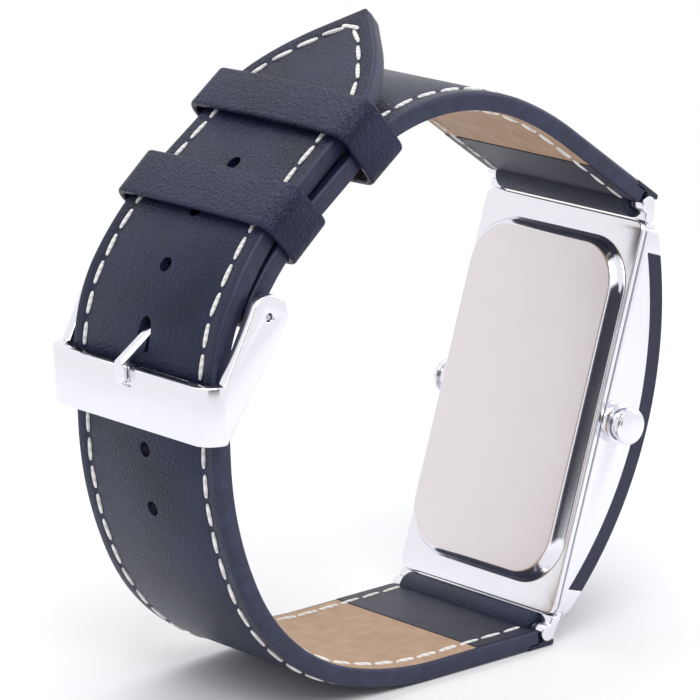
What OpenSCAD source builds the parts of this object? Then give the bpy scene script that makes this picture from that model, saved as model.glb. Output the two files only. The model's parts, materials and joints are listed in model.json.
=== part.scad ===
// LED wristwatch: arched rectangular case, leather strap closed round the wrist, pin buckle.
// Watch axes: x from the case back to the front, y across the strap, z along the case.
// The whole watch leans so that the flat stretch of the lower strap lies on the ground.

/* [Case] */
// length of the case along the strap
case_l = 48; // [40:0.5:56]
// width of the case across the strap
case_w = 27.8; // [24:0.2:34]
// thickness of the case at its middle
case_t = 8.5; // [7:0.1:11]
// thickness of the case at its two ends
case_end_t = 2.32; // [1.8:0.02:3.4]
// corner radius of the case seen from behind
corner_r = 1.2; // [0.6:0.1:3]
// thickness of the case's side walls
side_wall = 1.3; // [1:0.1:2]
// thickness of the case's end walls
end_wall = 3; // [2.8:0.1:4]
// distance of the front window from the case's ends
lens_end = 3.4; // [3.2:0.1:9]
// thickness of the front window
lens_t = 2; // [1.2:0.1:2.6]

/* [Case back] */
// thickness of the back plate's flange
back_t = 0.8; // [0.6:0.05:1.2]
// height of the raised pad on the back
pad_h = 1.6; // [0.8:0.1:2.4]
// distance of the raised pad's foot from the case's long sides
pad_side = 0.6; // [0.4:0.1:4]
// distance of the raised pad's foot from the case's ends
pad_end = 2.8; // [1:0.1:7]
// corner radius of the raised pad at its foot
pad_r = 6.4; // [3:0.1:9]
// width of the pad's slanted side
pad_slope = 0.4; // [0.2:0.05:0.8]
// width of the bevel round the pad's face
pad_bevel = 0.6; // [0.3:0.05:0.9]
// thickness of the pad's sheet
pad_sheet = 0.6; // [0.4:0.05:0.9]
// height of the lip that centres the back in the case
lip_h = 0.7; // [0.4:0.05:1.2]
// thickness of that lip
lip_t = 0.7; // [0.4:0.05:1]
// thickness of the rubber gasket
gasket_t = 0.5; // [0.3:0.05:0.6]
// width of the rubber gasket
gasket_w = 0.5; // [0.3:0.05:0.7]

/* [Movement] */
// wall of the module frame beside a coin cell
cell_wall = 1.9; // [1:0.1:3]
// thickness of a coin cell
cell_t = 1.6; // [1.2:0.1:2]
// gap between the two coin cells
cell_gap = 1.6; // [0.8:0.1:3]
// thickness of the insulating film over the cells
film_t = 0.12; // [0.08:0.01:0.3]
// thickness of the contact strap that joins the cells
strap_contact_t = 0.2; // [0.1:0.02:0.4]
// width of the contact strap
strap_contact_w = 5; // [3:0.5:9]
// gap between the module frame's ends and the back's inside
module_end = 1.5; // [0.5:0.1:3]
// gap between the module frame's sides and the back's inside
module_side = 1.05; // [0.3:0.05:2]
// height of the module frame
module_h = 2.9; // [2.2:0.1:3.4]
// thickness of the circuit board
board_t = 0.6; // [0.4:0.1:1]
// distance of the circuit board's ends from the mask's ends
board_end = 1.5; // [0.5:0.1:4]
// distance of the circuit board's sides from the module frame's sides
board_side = 0.8; // [0.2:0.1:2]
// distance of the dial mask's ends from the window's ends
mask_end = 4.6; // [3:0.1:7]
// gap between the dial mask and the case's side walls
mask_gap = 0.6; // [0.2:0.1:2]
// side of a lamp seen from the front
lamp_w = 1.2; // [0.8:0.1:1.6]
// height of a lamp
lamp_h = 0.6; // [0.4:0.05:0.8]
// diameter of a light well in the mask
well_d = 2; // [1.6:0.1:3]
// distance of the outermost lamps from the board's sides
lamp_side = 1.5; // [1:0.1:3]
// distance between the two rows of lamps
row_pitch = 9; // [6:0.5:12]

/* [Push buttons] */
// distance of the button's axis from the back plane
button_x = 3; // [2.6:0.1:4]
// diameter of the button's cap
cap_d = 4.4; // [3.4:0.1:5]
// height of the button's cap
cap_h = 1.1; // [0.8:0.1:2]
// height of the dome on the cap
dome_h = 0.35; // [0.2:0.05:0.6]
// diameter of the fixed collar
collar_d = 4.7; // [4:0.1:5.4]
// height of the fixed collar above the case wall
collar_h = 1.2; // [1:0.1:1.6]
// travel of the button
button_travel = 0.8; // [0.4:0.05:1]
// diameter of the tube through the case wall
tube_d = 2.6; // [2.2:0.1:3]
// diameter of the button's stem
stem_d = 1.2; // [1:0.05:1.4]
// radial clearance of the stem in its tube
stem_gap = 0.05; // [0.02:0.01:0.08]
// wire thickness of the button's return spring
spring_wire = 0.2; // [0.15:0.01:0.3]

/* [Spring bars] */
// distance of the spring bars' axes from the case ends
bar_out = 2.1; // [2.1:0.1:3]
// distance of the spring bars' axes in front of the back plane
bar_x = 0.3; // [0:0.1:1]
// outer diameter of a spring bar's tube
bar_d = 1.5; // [1.2:0.1:1.8]
// wall thickness of that tube
bar_wall = 0.2; // [0.15:0.01:0.3]
// diameter of a spring bar's end
nose_d = 0.8; // [0.6:0.05:1]
// length of the end's thicker part inside the tube
plunger_l = 3; // [2:0.1:4]
// gap between the tube and the lug or leg beside it
bar_gap = 0.3; // [0.15:0.05:0.6]
// radial clearance of an end in its hole
nose_gap = 0.08; // [0.03:0.01:0.1]
// width of a lug along the spring bar
lug_w = 1.9; // [1.5:0.1:2.6]
// radius of a lug's rounded end
lug_r = 1; // [0.9:0.05:1.3]
// depth of the spring-bar hole in a lug
lug_hole = 1.2; // [0.8:0.1:1.5]

/* [Strap] */
// thickness of the strap
strap_t = 2.3; // [1.8:0.1:3]
// thickness of the strap's lining
lining_t = 0.9; // [0.5:0.1:1.1]
// distance of the strap's edges from the case's long sides
strap_side = 0.6; // [0:0.1:2]
// how much narrower the strap is at the buckle
buckle_taper = 0.6; // [0:0.1:6]
// how much narrower again it is where its tip begins
tip_taper = 2.6; // [0:0.1:4]
// distance of the taper's ends from the case and from the buckle's bar
taper_end = 3; // [1:0.5:6]
// radius of the strap's loop round a spring bar of the case
end_r = 1.9; // [1.7:0.05:2]
// radius of the strap's loop round the buckle's spring bar
eye_r = 1.9; // [1.6:0.05:2.4]
// radial clearance of the loops round their spring bars
loop_gap = 0.05; // [0.02:0.01:0.1]
// length of the black patch inside each strap end
patch_l = 10; // [6:0.5:14]
// clearance between a lug and the strap's notch
notch_gap = 0.2; // [0.15:0.05:0.4]
// how far the strap's outer leather reaches over the lugs, past the spring bar
strap_flap = 1.4; // [0.6:0.1:1.4]
// direction in which the lower strap leaves the case, below the horizontal
lower_drop = 19; // [14:0.5:24]
// radius of the lower strap's first bend
bend1_r = 42; // [30:1:60]
// angle of that bend
bend1_angle = 17.4; // [8:0.2:24]
// radius of the lower strap's tight bend
bend2_r = 23.3; // [20:0.1:26]
// angle of that bend
bend2_angle = 48.45; // [40:0.05:56]
// radius of the lower strap's last bend before the buckle
bend3_r = 40.9; // [30:0.1:60]
// direction in which the upper strap leaves the case, above the horizontal
upper_rise = 18; // [14:0.5:24]
// length of the short strap's first straight stretch
short1_l = 15.65; // [12:0.1:20]
// angle of the short strap's gentle bend
short_bend1_angle = 12; // [8:0.1:15]
// radius of that bend
short_bend1_r = 40; // [30:0.5:60]
// angle of the short strap's main bend
short_bend2_angle = 61.8; // [58:0.1:68]
// radius of the short strap's main bend
short_bend2_r = 25; // [21:0.1:28]
// length of the short strap's straight stretch under the keepers
short2_l = 8.2; // [6:0.1:12]
// gap between the long strap and the short strap where they lie together
cross_gap = 0.25; // [0.15:0.05:0.6]
// radius of the long strap below the buckle's spring bar
under_r = 19.3; // [16:0.1:24]
// angle of that bend
under_angle = 31.6; // [20:0.2:36]
// radius of the long strap above the buckle's spring bar
over_r = 34.4; // [28:0.2:40]
// angle of that bend
over_angle = 22.4; // [18:0.2:28]
// length of the long strap's straight end
tip_run = 27.5; // [22:0.5:34]
// length of the pointed tip
tip_l = 14; // [9:0.5:18]
// radius that rounds the very point
tip_r = 2.2; // [1:0.1:4]
// distance between the strap's holes
hole_pitch = 7; // [5:0.5:8]
// diameter of a strap hole
hole_d = 1.8; // [1.4:0.1:2.4]
// place of the hole in use, below the buckle's spring bar
hole_used = 5; // [4:0.1:6]
// how many holes lie above the one in use
holes_above = 3; // [2:1:3]
// how many holes lie below the one in use
holes_below = 3; // [2:1:4]

/* [Keepers] */
// thickness of a keeper's leather
keeper_t = 0.9; // [0.7:0.05:1.8]
// width of the fixed keeper along the strap
fixed_keeper_w = 6.2; // [4:0.2:8]
// width of the sliding keeper along the strap
sliding_keeper_w = 5.8; // [4:0.2:8]
// place of the fixed keeper's middle above the buckle's spring bar
fixed_keeper_s = 11.4; // [10:0.2:14]
// place of the sliding keeper's middle above the buckle's spring bar
sliding_keeper_s = 25; // [23:0.2:28]
// clearance between a keeper and the strap's faces
keeper_gap = 0.2; // [0.1:0.05:0.5]
// clearance between a keeper and the inner face of the stacked straps
keeper_in_gap = 0.25; // [0.15:0.05:0.6]
// radius of a keeper's inner corners
keeper_r = 0.6; // [0.2:0.05:0.65]
// clearance between a keeper and the strap's edges
keeper_side_gap = 0.2; // [0.15:0.05:0.8]
// travel of the sliding keeper toward the buckle
slide_down = 7; // [2:0.5:7.5]
// travel of the sliding keeper toward the tip
slide_up = 2; // [1:0.5:6]

/* [Buckle] */
// width of the buckle's bar along the strap
frame_bar_w = 6.8; // [4:0.2:8]
// thickness of the buckle's sheet
frame_t = 1.5; // [1:0.1:2]
// thickness of a buckle leg
leg_t = 1.4; // [1:0.1:2]
// gap between a leg and the strap's edge
leg_gap = 0.7; // [0.3:0.1:1.5]
// distance from the spring bar down the strap to the bar's middle
frame_reach = 12.2; // [11.6:0.1:14]
// gap between the bar and the strap under it
frame_gap = 1; // [0.2:0.05:1.2]
// radius of a leg's round end
leg_r = 2.6; // [2:0.1:3.2]
// outer radius where the buckle's sheet bends from the bar into a leg
frame_corner = 2.7; // [1.6:0.1:3]
// width of the tongue
tongue_w = 1.6; // [1.2:0.1:2.2]
// thickness of the tongue
tongue_t = 1.2; // [0.9:0.1:1.5]
// width of the tongue's loop along the spring bar
tongue_eye_w = 2.2; // [1.8:0.1:3]
// radius of the tongue's loop
tongue_eye_r = 1.55; // [1.35:0.05:1.8]
// radial clearance of the tongue's loop on the spring bar
tongue_gap = 0.06; // [0.03:0.01:0.1]
// clearance on both sides of the tongue
tongue_side = 0.3; // [0.15:0.05:0.6]
// how far the tongue can lift in its way through the strap
tongue_lift = 1.3; // [1.3:0.1:2]
// how far the tongue's bent tip lies over the bar
tongue_over = 1.9; // [1.2:0.1:2.4]
// depth of the rest cut into the bar for the tongue
rest_depth = 0.5; // [0.3:0.05:0.8]

/* [Hidden] */
$fn = 96;
eps = 0.01;
glue = 0.02;

// longer than anything that is cut
far = 3 * case_l;

// case
front_d = case_t - case_end_t;
front_r = (case_l * case_l / 4 + front_d * front_d) / (2 * front_d);
arch_x = case_t - front_r;
lens_l = case_l - 2 * lens_end;
lens_r = front_r - lens_t;
cav_w = case_w - 2 * side_wall;
cav_l = case_l - 2 * end_wall;
cav_r = 2;
seam = 0.1;
lug_root = 0.6;
lug_foot = 0.5;

// case back
pad_w = case_w - 2 * pad_side;
pad_l = case_l - 2 * pad_end;
lip_gap = 0.05;
lip_w = cav_w - 2 * lip_gap;
lip_l = cav_l - 2 * lip_gap;
in_w = min(pad_w - 2 * pad_slope - 2 * pad_sheet, lip_w - 2 * lip_t);
in_l = min(pad_l - 2 * pad_slope - 2 * pad_sheet, lip_l - 2 * lip_t);

// movement, counted along x from the pad's inner face
module_l = in_l - 2 * module_end;
module_w = in_w - 2 * module_side;
module_r = 3;
cell_d = min((module_l - cell_gap) / 2, module_w - cell_wall) - cell_wall;
mask_l = lens_l - 2 * mask_end;
mask_w = cav_w - 2 * mask_gap;
board_l = mask_l - 2 * board_end;
board_w = module_w - 2 * board_side;
pad_in = pad_sheet - pad_h;
film_x = pad_in + glue;
cell_x = film_x + film_t + glue;
contact_x = cell_x + cell_t + glue;
frame_x = film_x + film_t + glue;
board_x = frame_x + module_h + glue;
mask_x = board_x + board_t + glue;
cell_z = (cell_d + cell_gap) / 2;
lamps_short = 4;
lamps_long = 6;
lamp_pitch = (board_w - 2 * lamp_side) / (lamps_long - 1);
chip_w = 3;
chip_h = 0.8;
chip_y = -0.33 * board_w;
crystal_d = 1.2;
crystal_l = 4.6;
crystal_y = 0.33 * board_w;
pocket_gap = 0.2;

// push buttons, counted along y from the axis of the watch outwards
wall_out = case_w / 2;
wall_in = case_w / 2 - side_wall;
tube_in = wall_in - 0.3;
cap_gap = button_travel + 0.1;
collar_base = collar_h - button_travel - 0.15;
cap_y = wall_out + collar_h + cap_gap;
neck_y = wall_out + collar_h - 0.05;
neck_r = cap_d / 2 - 0.35;
neck_in = stem_d / 2 + spring_wire + 0.25;
stem_in = tube_in - 0.75;
blade_t = 0.15;
blade_y = stem_in - button_travel - 0.12 - blade_t;
seal_y = wall_out - side_wall * 0.45;
seal_w = 0.3;
clip_t = 0.25;
clip_y = tube_in - 0.05 - clip_t;
blade_w = 2.4;
blade_foot = 1.6;

// spring bars
upper_z = case_l / 2 + bar_out;
lug_in = case_w / 2 - 0.1 - lug_w;
strap_tab_w = 2 * (lug_in - bar_gap);
nose_r = nose_d / 2;
bar_in_r = bar_d / 2 - bar_wall;
plunger_gap = 0.05;

// strap routes: a pose is [x, z, heading], a stretch is [length, curvature]
function adv(p, l, k) =
  k == 0
  ? [p[0] + l * cos(p[2]), p[1] + l * sin(p[2]), p[2]]
  : let(h = p[2] + l * k * 180 / PI)
    [p[0] + (sin(h) - sin(p[2])) / k, p[1] - (cos(h) - cos(p[2])) / k, h];
function at(p, segs, s, i = 0) =
  i == len(segs) - 1 || s <= segs[i][0]
  ? adv(p, s, segs[i][1])
  : at(adv(p, segs[i][0], segs[i][1]), segs, s - segs[i][0], i + 1);
function total(segs, n, i = 0) = i >= n ? 0 : segs[i][0] + total(segs, n, i + 1);
function arc(r, a, side) = [r * a * PI / 180, side / r];
function steps(p, segs, s0, s1) =
  let(n = len(segs))
  [
    for (i = [0 : n - 1])
      let(
        a = i == 0 ? s0 : max(s0, total(segs, i)),
        b = min(s1, total(segs, i + 1)),
        m = segs[i][1] == 0 ? 1 : max(1, ceil((b - a) / 1.8))
      )
      if (b - a > 0.001)
        for (j = [0 : m - 1]) at(p, segs, a + (b - a) * j / m),
    at(p, segs, s1)
  ];
function beside(q, d) = [q[0] - d * sin(q[2]), q[1] + d * cos(q[2])];
function side(pts, d) = [for (q = pts) beside(q, d)];
function back(v) = [for (i = [len(v) - 1 : -1 : 0]) v[i]];
function round_end(c, r, a0, a1, n) =
  [for (i = [0 : n]) [c[0] + r * cos(a0 + (a1 - a0) * i / n), c[1] + r * sin(a0 + (a1 - a0) * i / n)]];
function cross2(a, b) = a[0] * b[1] - a[1] * b[0];
function dot2(a, b) = a[0] * b[0] + a[1] * b[1];

strap_w_case = case_w - 2 * strap_side;
strap_w_buckle = strap_w_case - buckle_taper;
strap_w_tip = strap_w_buckle - tip_taper;
half_t = strap_t / 2;
layer_d = half_t - (strap_t - lining_t);
end_shift = end_r - half_t;

// short strap, from the upper spring bar to the buckle's spring bar, outer face on the right
short_h = 180 - upper_rise;
short_p = [bar_x + end_shift * sin(short_h), upper_z - end_shift * cos(short_h), short_h];
short_segs = [
  [short1_l, 0],
  arc(short_bend1_r, short_bend1_angle, 1),
  arc(short_bend2_r, short_bend2_angle, 1),
  [short2_l, 0],
  arc(over_r - strap_t - cross_gap, over_angle, 1)
];
short_len = total(short_segs, 5);
// the loop round the buckle's spring bar lies flush with the strap's outer face
short_e = at(short_p, short_segs, short_len);
eye_c = beside(short_e, eye_r - half_t);
eye = [eye_c[0], eye_c[1], short_e[2]];

// long strap where it passes the buckle's spring bar, side by side with the short strap
cross_angle = short_e[2] - 180;
cross_d = eye_r + cross_gap + half_t;
cross_p = [eye[0] - cross_d * sin(cross_angle), eye[1] + cross_d * cos(cross_angle), cross_angle];
under_e = adv([cross_p[0], cross_p[1], cross_angle - 180], under_r * under_angle * PI / 180, 1 / under_r);

// width of the straps at x, from the case down to the buckle
taper_x0 = -taper_end;
taper_x1 = cross_p[0] + taper_end;
function flat_w(x) =
  strap_w_buckle + buckle_taper * max(0, min(1, (x - taper_x1) / (taper_x0 - taper_x1)));

// long strap, from the lower spring bar to its tip, outer face on the left
long_h = 180 + lower_drop;
long_p = [bar_x - end_shift * sin(long_h), -upper_z + end_shift * cos(long_h), long_h];
join_h = cross_angle + under_angle;
bends = [
  arc(bend1_r, bend1_angle, -1),
  arc(bend2_r, bend2_angle, -1),
  arc(bend3_r, long_h - bend1_angle - bend2_angle - join_h, -1)
];
// the two straight stretches close the way from the lower spring bar to the buckle's
bends_e = at([0, 0, long_h], bends, total(bends, 3));
open_w = [under_e[0] - long_p[0] - bends_e[0], under_e[1] - long_p[1] - bends_e[1]];
flat_d = [cos(long_h), sin(long_h)];
join_d = [cos(join_h), sin(join_h)];
flat_l = cross2(open_w, join_d) / cross2(flat_d, join_d);
under_l = cross2(flat_d, open_w) / cross2(flat_d, join_d);
long_segs = [
  [flat_l, 0],
  bends[0],
  bends[1],
  bends[2],
  [under_l, 0],
  arc(under_r, under_angle, -1),
  arc(over_r, over_angle, -1),
  [tip_run, 0]
];
cross_s = total(long_segs, 6);
long_len = total(long_segs, 8);
function on_long(s) = at(long_p, long_segs, cross_s + s);

// keepers: each one's own frame has u along the long strap and v outwards
short_in = [for (i = [0 : 0.2 : short_len]) beside(at(short_p, short_segs, i), half_t)];
// height of the short strap's inner face between u0 and u1 of a keeper at k
function stack_in(k, u0, u1) =
  min([
    for (q = short_in)
      let(
        w = [q[0] - k[0], q[1] - k[1]],
        u = w[0] * cos(k[2]) + w[1] * sin(k[2])
      )
      if (u >= u0 - 0.2 && u <= u1 + 0.2) w[1] * cos(k[2]) - w[0] * sin(k[2])
  ]);
fixed_k = on_long(fixed_keeper_s);
slide_k = on_long(sliding_keeper_s);
slide_a = -sliding_keeper_w / 2 - slide_down;
slide_b = sliding_keeper_w / 2 + slide_up;
fixed_in = stack_in(fixed_k, -fixed_keeper_w / 2, fixed_keeper_w / 2);
slide_in = stack_in(slide_k, slide_a, slide_b);
// width inside a keeper at q whose inmost corner is at u, v
function keeper_w(q, u, v) =
  flat_w(q[0] + u * cos(q[2]) - v * sin(q[2])) + 2 * keeper_side_gap;

// buckle
frame_q = on_long(-frame_reach);
frame_off = half_t + frame_gap + frame_t / 2;
frame_c = beside(frame_q, frame_off);
frame_in = strap_w_buckle / 2 + leg_gap;
frame_out = frame_in + leg_t;
leg_dir = atan2(eye[1] - frame_c[1], eye[0] - frame_c[0]);
rest_c = beside(adv([frame_c[0], frame_c[1], frame_q[2]], frame_bar_w / 2, 0), frame_t / 2 - rest_depth);
rest_d = norm([rest_c[0] - eye[0], rest_c[1] - eye[1]]);
rest_a = atan2(rest_c[1] - eye[1], rest_c[0] - eye[0]);
tongue_up = tongue_t / 2 + 0.05;
tongue_a = rest_a - asin(tongue_up / rest_d);
// the tongue's knee over the bar's edge: its angle, how far it lies past that edge, and its place
tongue_bend = (frame_q[2] + 540 - tongue_a) % 360;
knee_past = tongue_up * tan(tongue_bend / 2);
tongue_len = sqrt(rest_d * rest_d - tongue_up * tongue_up) + knee_past;
rest_l = tongue_over + tongue_side;
lean = lower_drop;
ground = adv([long_p[0], long_p[1], long_h], flat_l / 2, 0);
ground_p = beside(ground, half_t);

// places the leaning watch with the middle of its flat stretch at the origin
module place() {
  rotate([0, lean, 0]) translate([-ground_p[0], 0, -ground_p[1]]) children();
}
// turns a drawing in the xz plane into a solid across the strap
module across(w, y = 0) {
  translate([0, y, 0]) rotate([90, 0, 0]) linear_extrude(height = w, center = true) children();
}
// a frame that rides on a pose: x along the strap, z outwards
module ride(q) {
  translate([q[0], 0, q[1]]) rotate([0, -q[2], 0]) children();
}
// a rounded rectangle seen along x, from x0 with thickness t
module plate(w, l, r, x0, t) {
  translate([x0, 0, 0]) rotate([90, 0, 90]) linear_extrude(height = t) rounded(w, l, r);
}
module rounded(w, l, r) {
  union() {
    square([w - 2 * r, l], center = true);
    square([w, l - 2 * r], center = true);
    for (i = [-1, 1], j = [-1, 1]) translate([i * (w / 2 - r), j * (l / 2 - r)]) circle(r = r);
  }
}
// a rounded rectangle that shrinks by d over the height h, away from the wearer's side
module tapered(w, l, r, d, h) {
  rw = w / 2 - r;
  rl = l / 2 - r;
  rotate([0, -90, 0]) {
    for (i = [-1, 1], j = [-1, 1]) translate([i * rl, j * rw, 0]) cylinder(h = h, r1 = r, r2 = r - d);
    rotate([90, 0, 0]) linear_extrude(height = 2 * rw, center = true)
      polygon([[-l / 2, 0], [l / 2, 0], [l / 2 - d, h], [-l / 2 + d, h]]);
    rotate([90, 0, 90]) linear_extrude(height = 2 * rl, center = true)
      polygon([[-w / 2, 0], [w / 2, 0], [w / 2 - d, h], [-w / 2 + d, h]]);
  }
}
// the space in front of the back plane and behind a front arch of radius r
module arch(r, w) {
  translate([arch_x, 0, 0]) rotate([90, 0, 0]) cylinder(h = w, r = r, center = true, $fn = 192);
}
module slab(x0, x1, w, l) {
  translate([x0, -w / 2, -l / 2]) cube([x1 - x0, w, l]);
}

module case_body() {
  color([0.86, 0.88, 0.9]) place() difference() {
    union() {
      intersection() {
        plate(case_w, case_l, corner_r, back_t + seam, case_t);
        arch(front_r, case_w + 2);
      }
      for (j = [-1, 1], i = [-1, 1])
        translate([0, i * (lug_in + lug_w / 2), 0]) {
          translate([bar_x, 0, j * upper_z]) rotate([90, 0, 0]) cylinder(h = lug_w, r = lug_r, center = true);
          mirror([0, 0, j < 0 ? 1 : 0]) across(lug_w) polygon([
            [bar_x, upper_z],
            [bar_x, case_l / 2 + seam],
            [back_t + seam, case_l / 2 + seam],
            [back_t + seam, case_l / 2 - lug_root],
            [bar_x + lug_r + lug_foot, case_l / 2 - lug_root],
            [bar_x + lug_r, upper_z]
          ]);
        }
    }
    intersection() {
      arch(front_r + 2, case_w + 2);
      difference() {
        slab(back_t, case_t + 2, case_w + 4, lens_l);
        arch(lens_r, case_w + 6);
      }
    }
    intersection() {
      plate(cav_w, cav_l, cav_r, back_t, case_t);
      arch(lens_r, case_w + 2);
    }
    for (i = [-1, 1]) translate([button_x, i * (wall_in + side_wall / 2), 0])
      rotate([90, 0, 0]) cylinder(h = side_wall + 0.6, r = tube_d / 2 + glue, center = true);
    for (j = [-1, 1], i = [-1, 1]) translate([bar_x, i * (lug_in + lug_hole / 2), j * upper_z])
      rotate([90, 0, 0]) cylinder(h = lug_hole, r = nose_r + nose_gap, center = true);
  }
}

module front_window() {
  color([0.1, 0.1, 0.17, 0.8]) place() intersection() {
    arch(front_r, case_w + 2);
    difference() {
      slab(back_t, case_t + 2, case_w - 0.1, lens_l - 0.1);
      arch(lens_r + glue, case_w + 6);
    }
  }
}

module case_back() {
  color([0.78, 0.77, 0.76]) place() difference() {
    union() {
      plate(case_w, case_l, corner_r, 0, back_t);
      translate([eps, 0, 0]) tapered(pad_w, pad_l, pad_r, pad_slope, pad_h - pad_bevel + eps);
      translate([pad_bevel - pad_h, 0, 0])
        tapered(pad_w - 2 * pad_slope, pad_l - 2 * pad_slope, pad_r - pad_slope, pad_bevel, pad_bevel);
      intersection() {
        plate(lip_w, lip_l, cav_r - lip_gap, back_t - eps, lip_h + eps);
        arch(lens_r - lip_gap, case_w);
      }
    }
    plate(lip_w - 2 * lip_t, lip_l - 2 * lip_t, cav_r - lip_gap - lip_t, back_t, lip_h + 1);
    plate(in_w, in_l, pad_r - pad_slope - pad_sheet, pad_in, back_t - pad_in + 1);
    translate([back_t + seam - 2 * glue - gasket_t, 0, 0]) gasket_ring(glue, gasket_t + 1);
    for (i = [-1, 1]) translate([button_x, i * lip_w / 2, 0])
      rotate([90, 0, 0]) cylinder(h = 4 * lip_t, r = tube_d / 2 + 0.1, center = true);
  }
}
// a ring that lies under the rim of the case wall, grown by g all round
module gasket_ring(g, t) {
  w = 0.2;
  difference() {
    plate(cav_w + 2 * (w + gasket_w + g), cav_l + 2 * (w + gasket_w + g), cav_r + w + gasket_w + g, 0, t);
    plate(cav_w + 2 * (w - g), cav_l + 2 * (w - g), cav_r + w - g, -1, t + 2);
  }
}

module back_gasket() {
  color([0.1, 0.1, 0.1]) place() translate([back_t + seam - glue - gasket_t, 0, 0]) gasket_ring(0, gasket_t);
}

module dial_mask() {
  color([0.08, 0.08, 0.1]) place() difference() {
    intersection() {
      slab(mask_x, case_t, mask_w, mask_l);
      arch(lens_r - glue, case_w);
    }
    lamp_places() translate([mask_x - 1, 0, 0]) rotate([0, 90, 0]) cylinder(h = case_t + 2, r = well_d / 2);
    for (i = [-1, 1]) mirror([0, i < 0 ? 1 : 0, 0])
      translate([mask_x - 1, blade_y + blade_t - blade_foot - 0.4, -blade_w / 2 - 1.1])
        cube([case_t, case_w, blade_w + 2.2]);
  }
}
// sets the children at each lamp: a row of short and a row of long count
module lamp_places() {
  for (k = [0 : lamps_short - 1])
    translate([0, (k - (lamps_short - 1) / 2) * lamp_pitch, row_pitch / 2]) children();
  for (k = [0 : lamps_long - 1])
    translate([0, (k - (lamps_long - 1) / 2) * lamp_pitch, -row_pitch / 2]) children();
}

module lamp_array() {
  color([0.9, 0.3, 0.25]) place() lamp_places()
    translate([mask_x, -lamp_w / 2, -lamp_w / 2]) cube([lamp_h, lamp_w, lamp_w]);
}

module circuit_board() {
  color([0.1, 0.35, 0.2]) place() slab(board_x, board_x + board_t, board_w, board_l);
}

module controller_chip() {
  color([0.12, 0.12, 0.13]) place() translate([board_x - glue - chip_h, chip_y - chip_w / 2, -chip_w / 2])
    cube([chip_h, chip_w, chip_w]);
}

module quartz_crystal() {
  color([0.8, 0.8, 0.82]) place() translate([board_x - glue - crystal_d / 2, crystal_y, 0])
    cylinder(h = crystal_l, r = crystal_d / 2, center = true);
}

module module_frame() {
  color([0.16, 0.16, 0.17]) place() difference() {
    plate(module_w, module_l, module_r, frame_x, module_h);
    for (j = [-1, 1]) translate([frame_x - 1, 0, j * cell_z]) rotate([0, 90, 0])
      cylinder(h = contact_x + strap_contact_t + 0.05 - frame_x + 1, r = cell_d / 2 + 0.1);
    translate([contact_x - glue, -strap_contact_w / 2 - 0.1, -cell_d / 2])
      cube([strap_contact_t + 0.05 + glue, strap_contact_w + 0.2, cell_d]);
    pocket(chip_y, chip_w, chip_w);
    pocket(crystal_y, crystal_d, crystal_l);
  }
}

// room in the module frame for a piece of width w and length l on the board
module pocket(y, w, l) {
  g = pocket_gap;
  translate([frame_x + 0.5, y - w / 2 - g, -l / 2 - g]) cube([module_h, w + 2 * g, l + 2 * g]);
}

module cell(j) {
  color([0.82, 0.83, 0.85]) place() translate([cell_x, 0, j * cell_z]) rotate([0, 90, 0]) union() {
    cylinder(h = cell_t - 0.3, r = cell_d / 2);
    cylinder(h = cell_t, r = cell_d / 2 - 1.4);
  }
}
module upper_cell() {
  cell(1);
}
module lower_cell() {
  cell(-1);
}

module cell_strap() {
  color([0.85, 0.75, 0.5]) place()
    slab(contact_x, contact_x + strap_contact_t, strap_contact_w, cell_d * 0.8);
}

module insulating_film() {
  color([0.85, 0.7, 0.35]) place() plate(module_w, module_l, module_r, film_x, film_t);
}

// sets the children at a button's axis, y outwards from the middle of the watch
module button_place(i) {
  place() translate([button_x, 0, 0]) mirror([0, i < 0 ? 1 : 0, 0]) children();
}
// a round piece along y from y0 to y1
module rod(y0, y1, r) {
  translate([0, y0, 0]) rotate([-90, 0, 0]) cylinder(h = y1 - y0, r = r);
}
module button(i) {
  color([0.88, 0.89, 0.92]) button_place(i) difference() {
    union() {
      rod(stem_in, cap_y + 0.2, stem_d / 2);
      rod(neck_y, cap_y + 0.2, neck_r);
      rod(cap_y, cap_y + cap_h - dome_h, cap_d / 2);
      translate([0, cap_y + cap_h - dome_h - eps, 0]) rotate([-90, 0, 0])
        cylinder(h = dome_h + eps, r1 = cap_d / 2, r2 = cap_d / 2 - dome_h * 1.6);
    }
    difference() {
      rod(neck_y - 1, cap_y, neck_in);
      rod(neck_y - 2, cap_y + 1, stem_d / 2);
    }
    difference() {
      rod(clip_y - glue, clip_y + clip_t + glue, stem_d);
      rod(clip_y - 1, clip_y + 1, stem_d / 2 - 0.15);
    }
  }
}
module button_tube(i) {
  color([0.7, 0.72, 0.75]) button_place(i) difference() {
    union() {
      rod(tube_in, wall_out + collar_base, tube_d / 2);
      rod(wall_out + glue, wall_out + collar_h, collar_d / 2);
    }
    rod(wall_out + collar_base, wall_out + collar_h + 1, neck_r + 0.06);
    rod(tube_in - 1, wall_out + collar_h, stem_d / 2 + stem_gap);
    rod(seal_y - seal_w / 2 - glue, seal_y + seal_w / 2 + glue, stem_d / 2 + seal_w + 2 * glue);
  }
}
module button_seal(i) {
  color([0.08, 0.08, 0.08]) button_place(i) translate([0, seal_y, 0]) rotate([90, 0, 0])
    rotate_extrude() translate([stem_d / 2 + glue + seal_w / 2, 0]) circle(d = seal_w, $fn = 32);
}
module button_clip(i) {
  color([0.6, 0.62, 0.65]) button_place(i) difference() {
    rod(clip_y, clip_y + clip_t, stem_d / 2 + 0.45);
    rod(clip_y - 1, clip_y + 1, stem_d / 2 - 0.13);
    translate([-2, clip_y + clip_t / 2, 0]) cube([4, clip_t + 1, stem_d * 0.6], center = true);
  }
}
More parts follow.
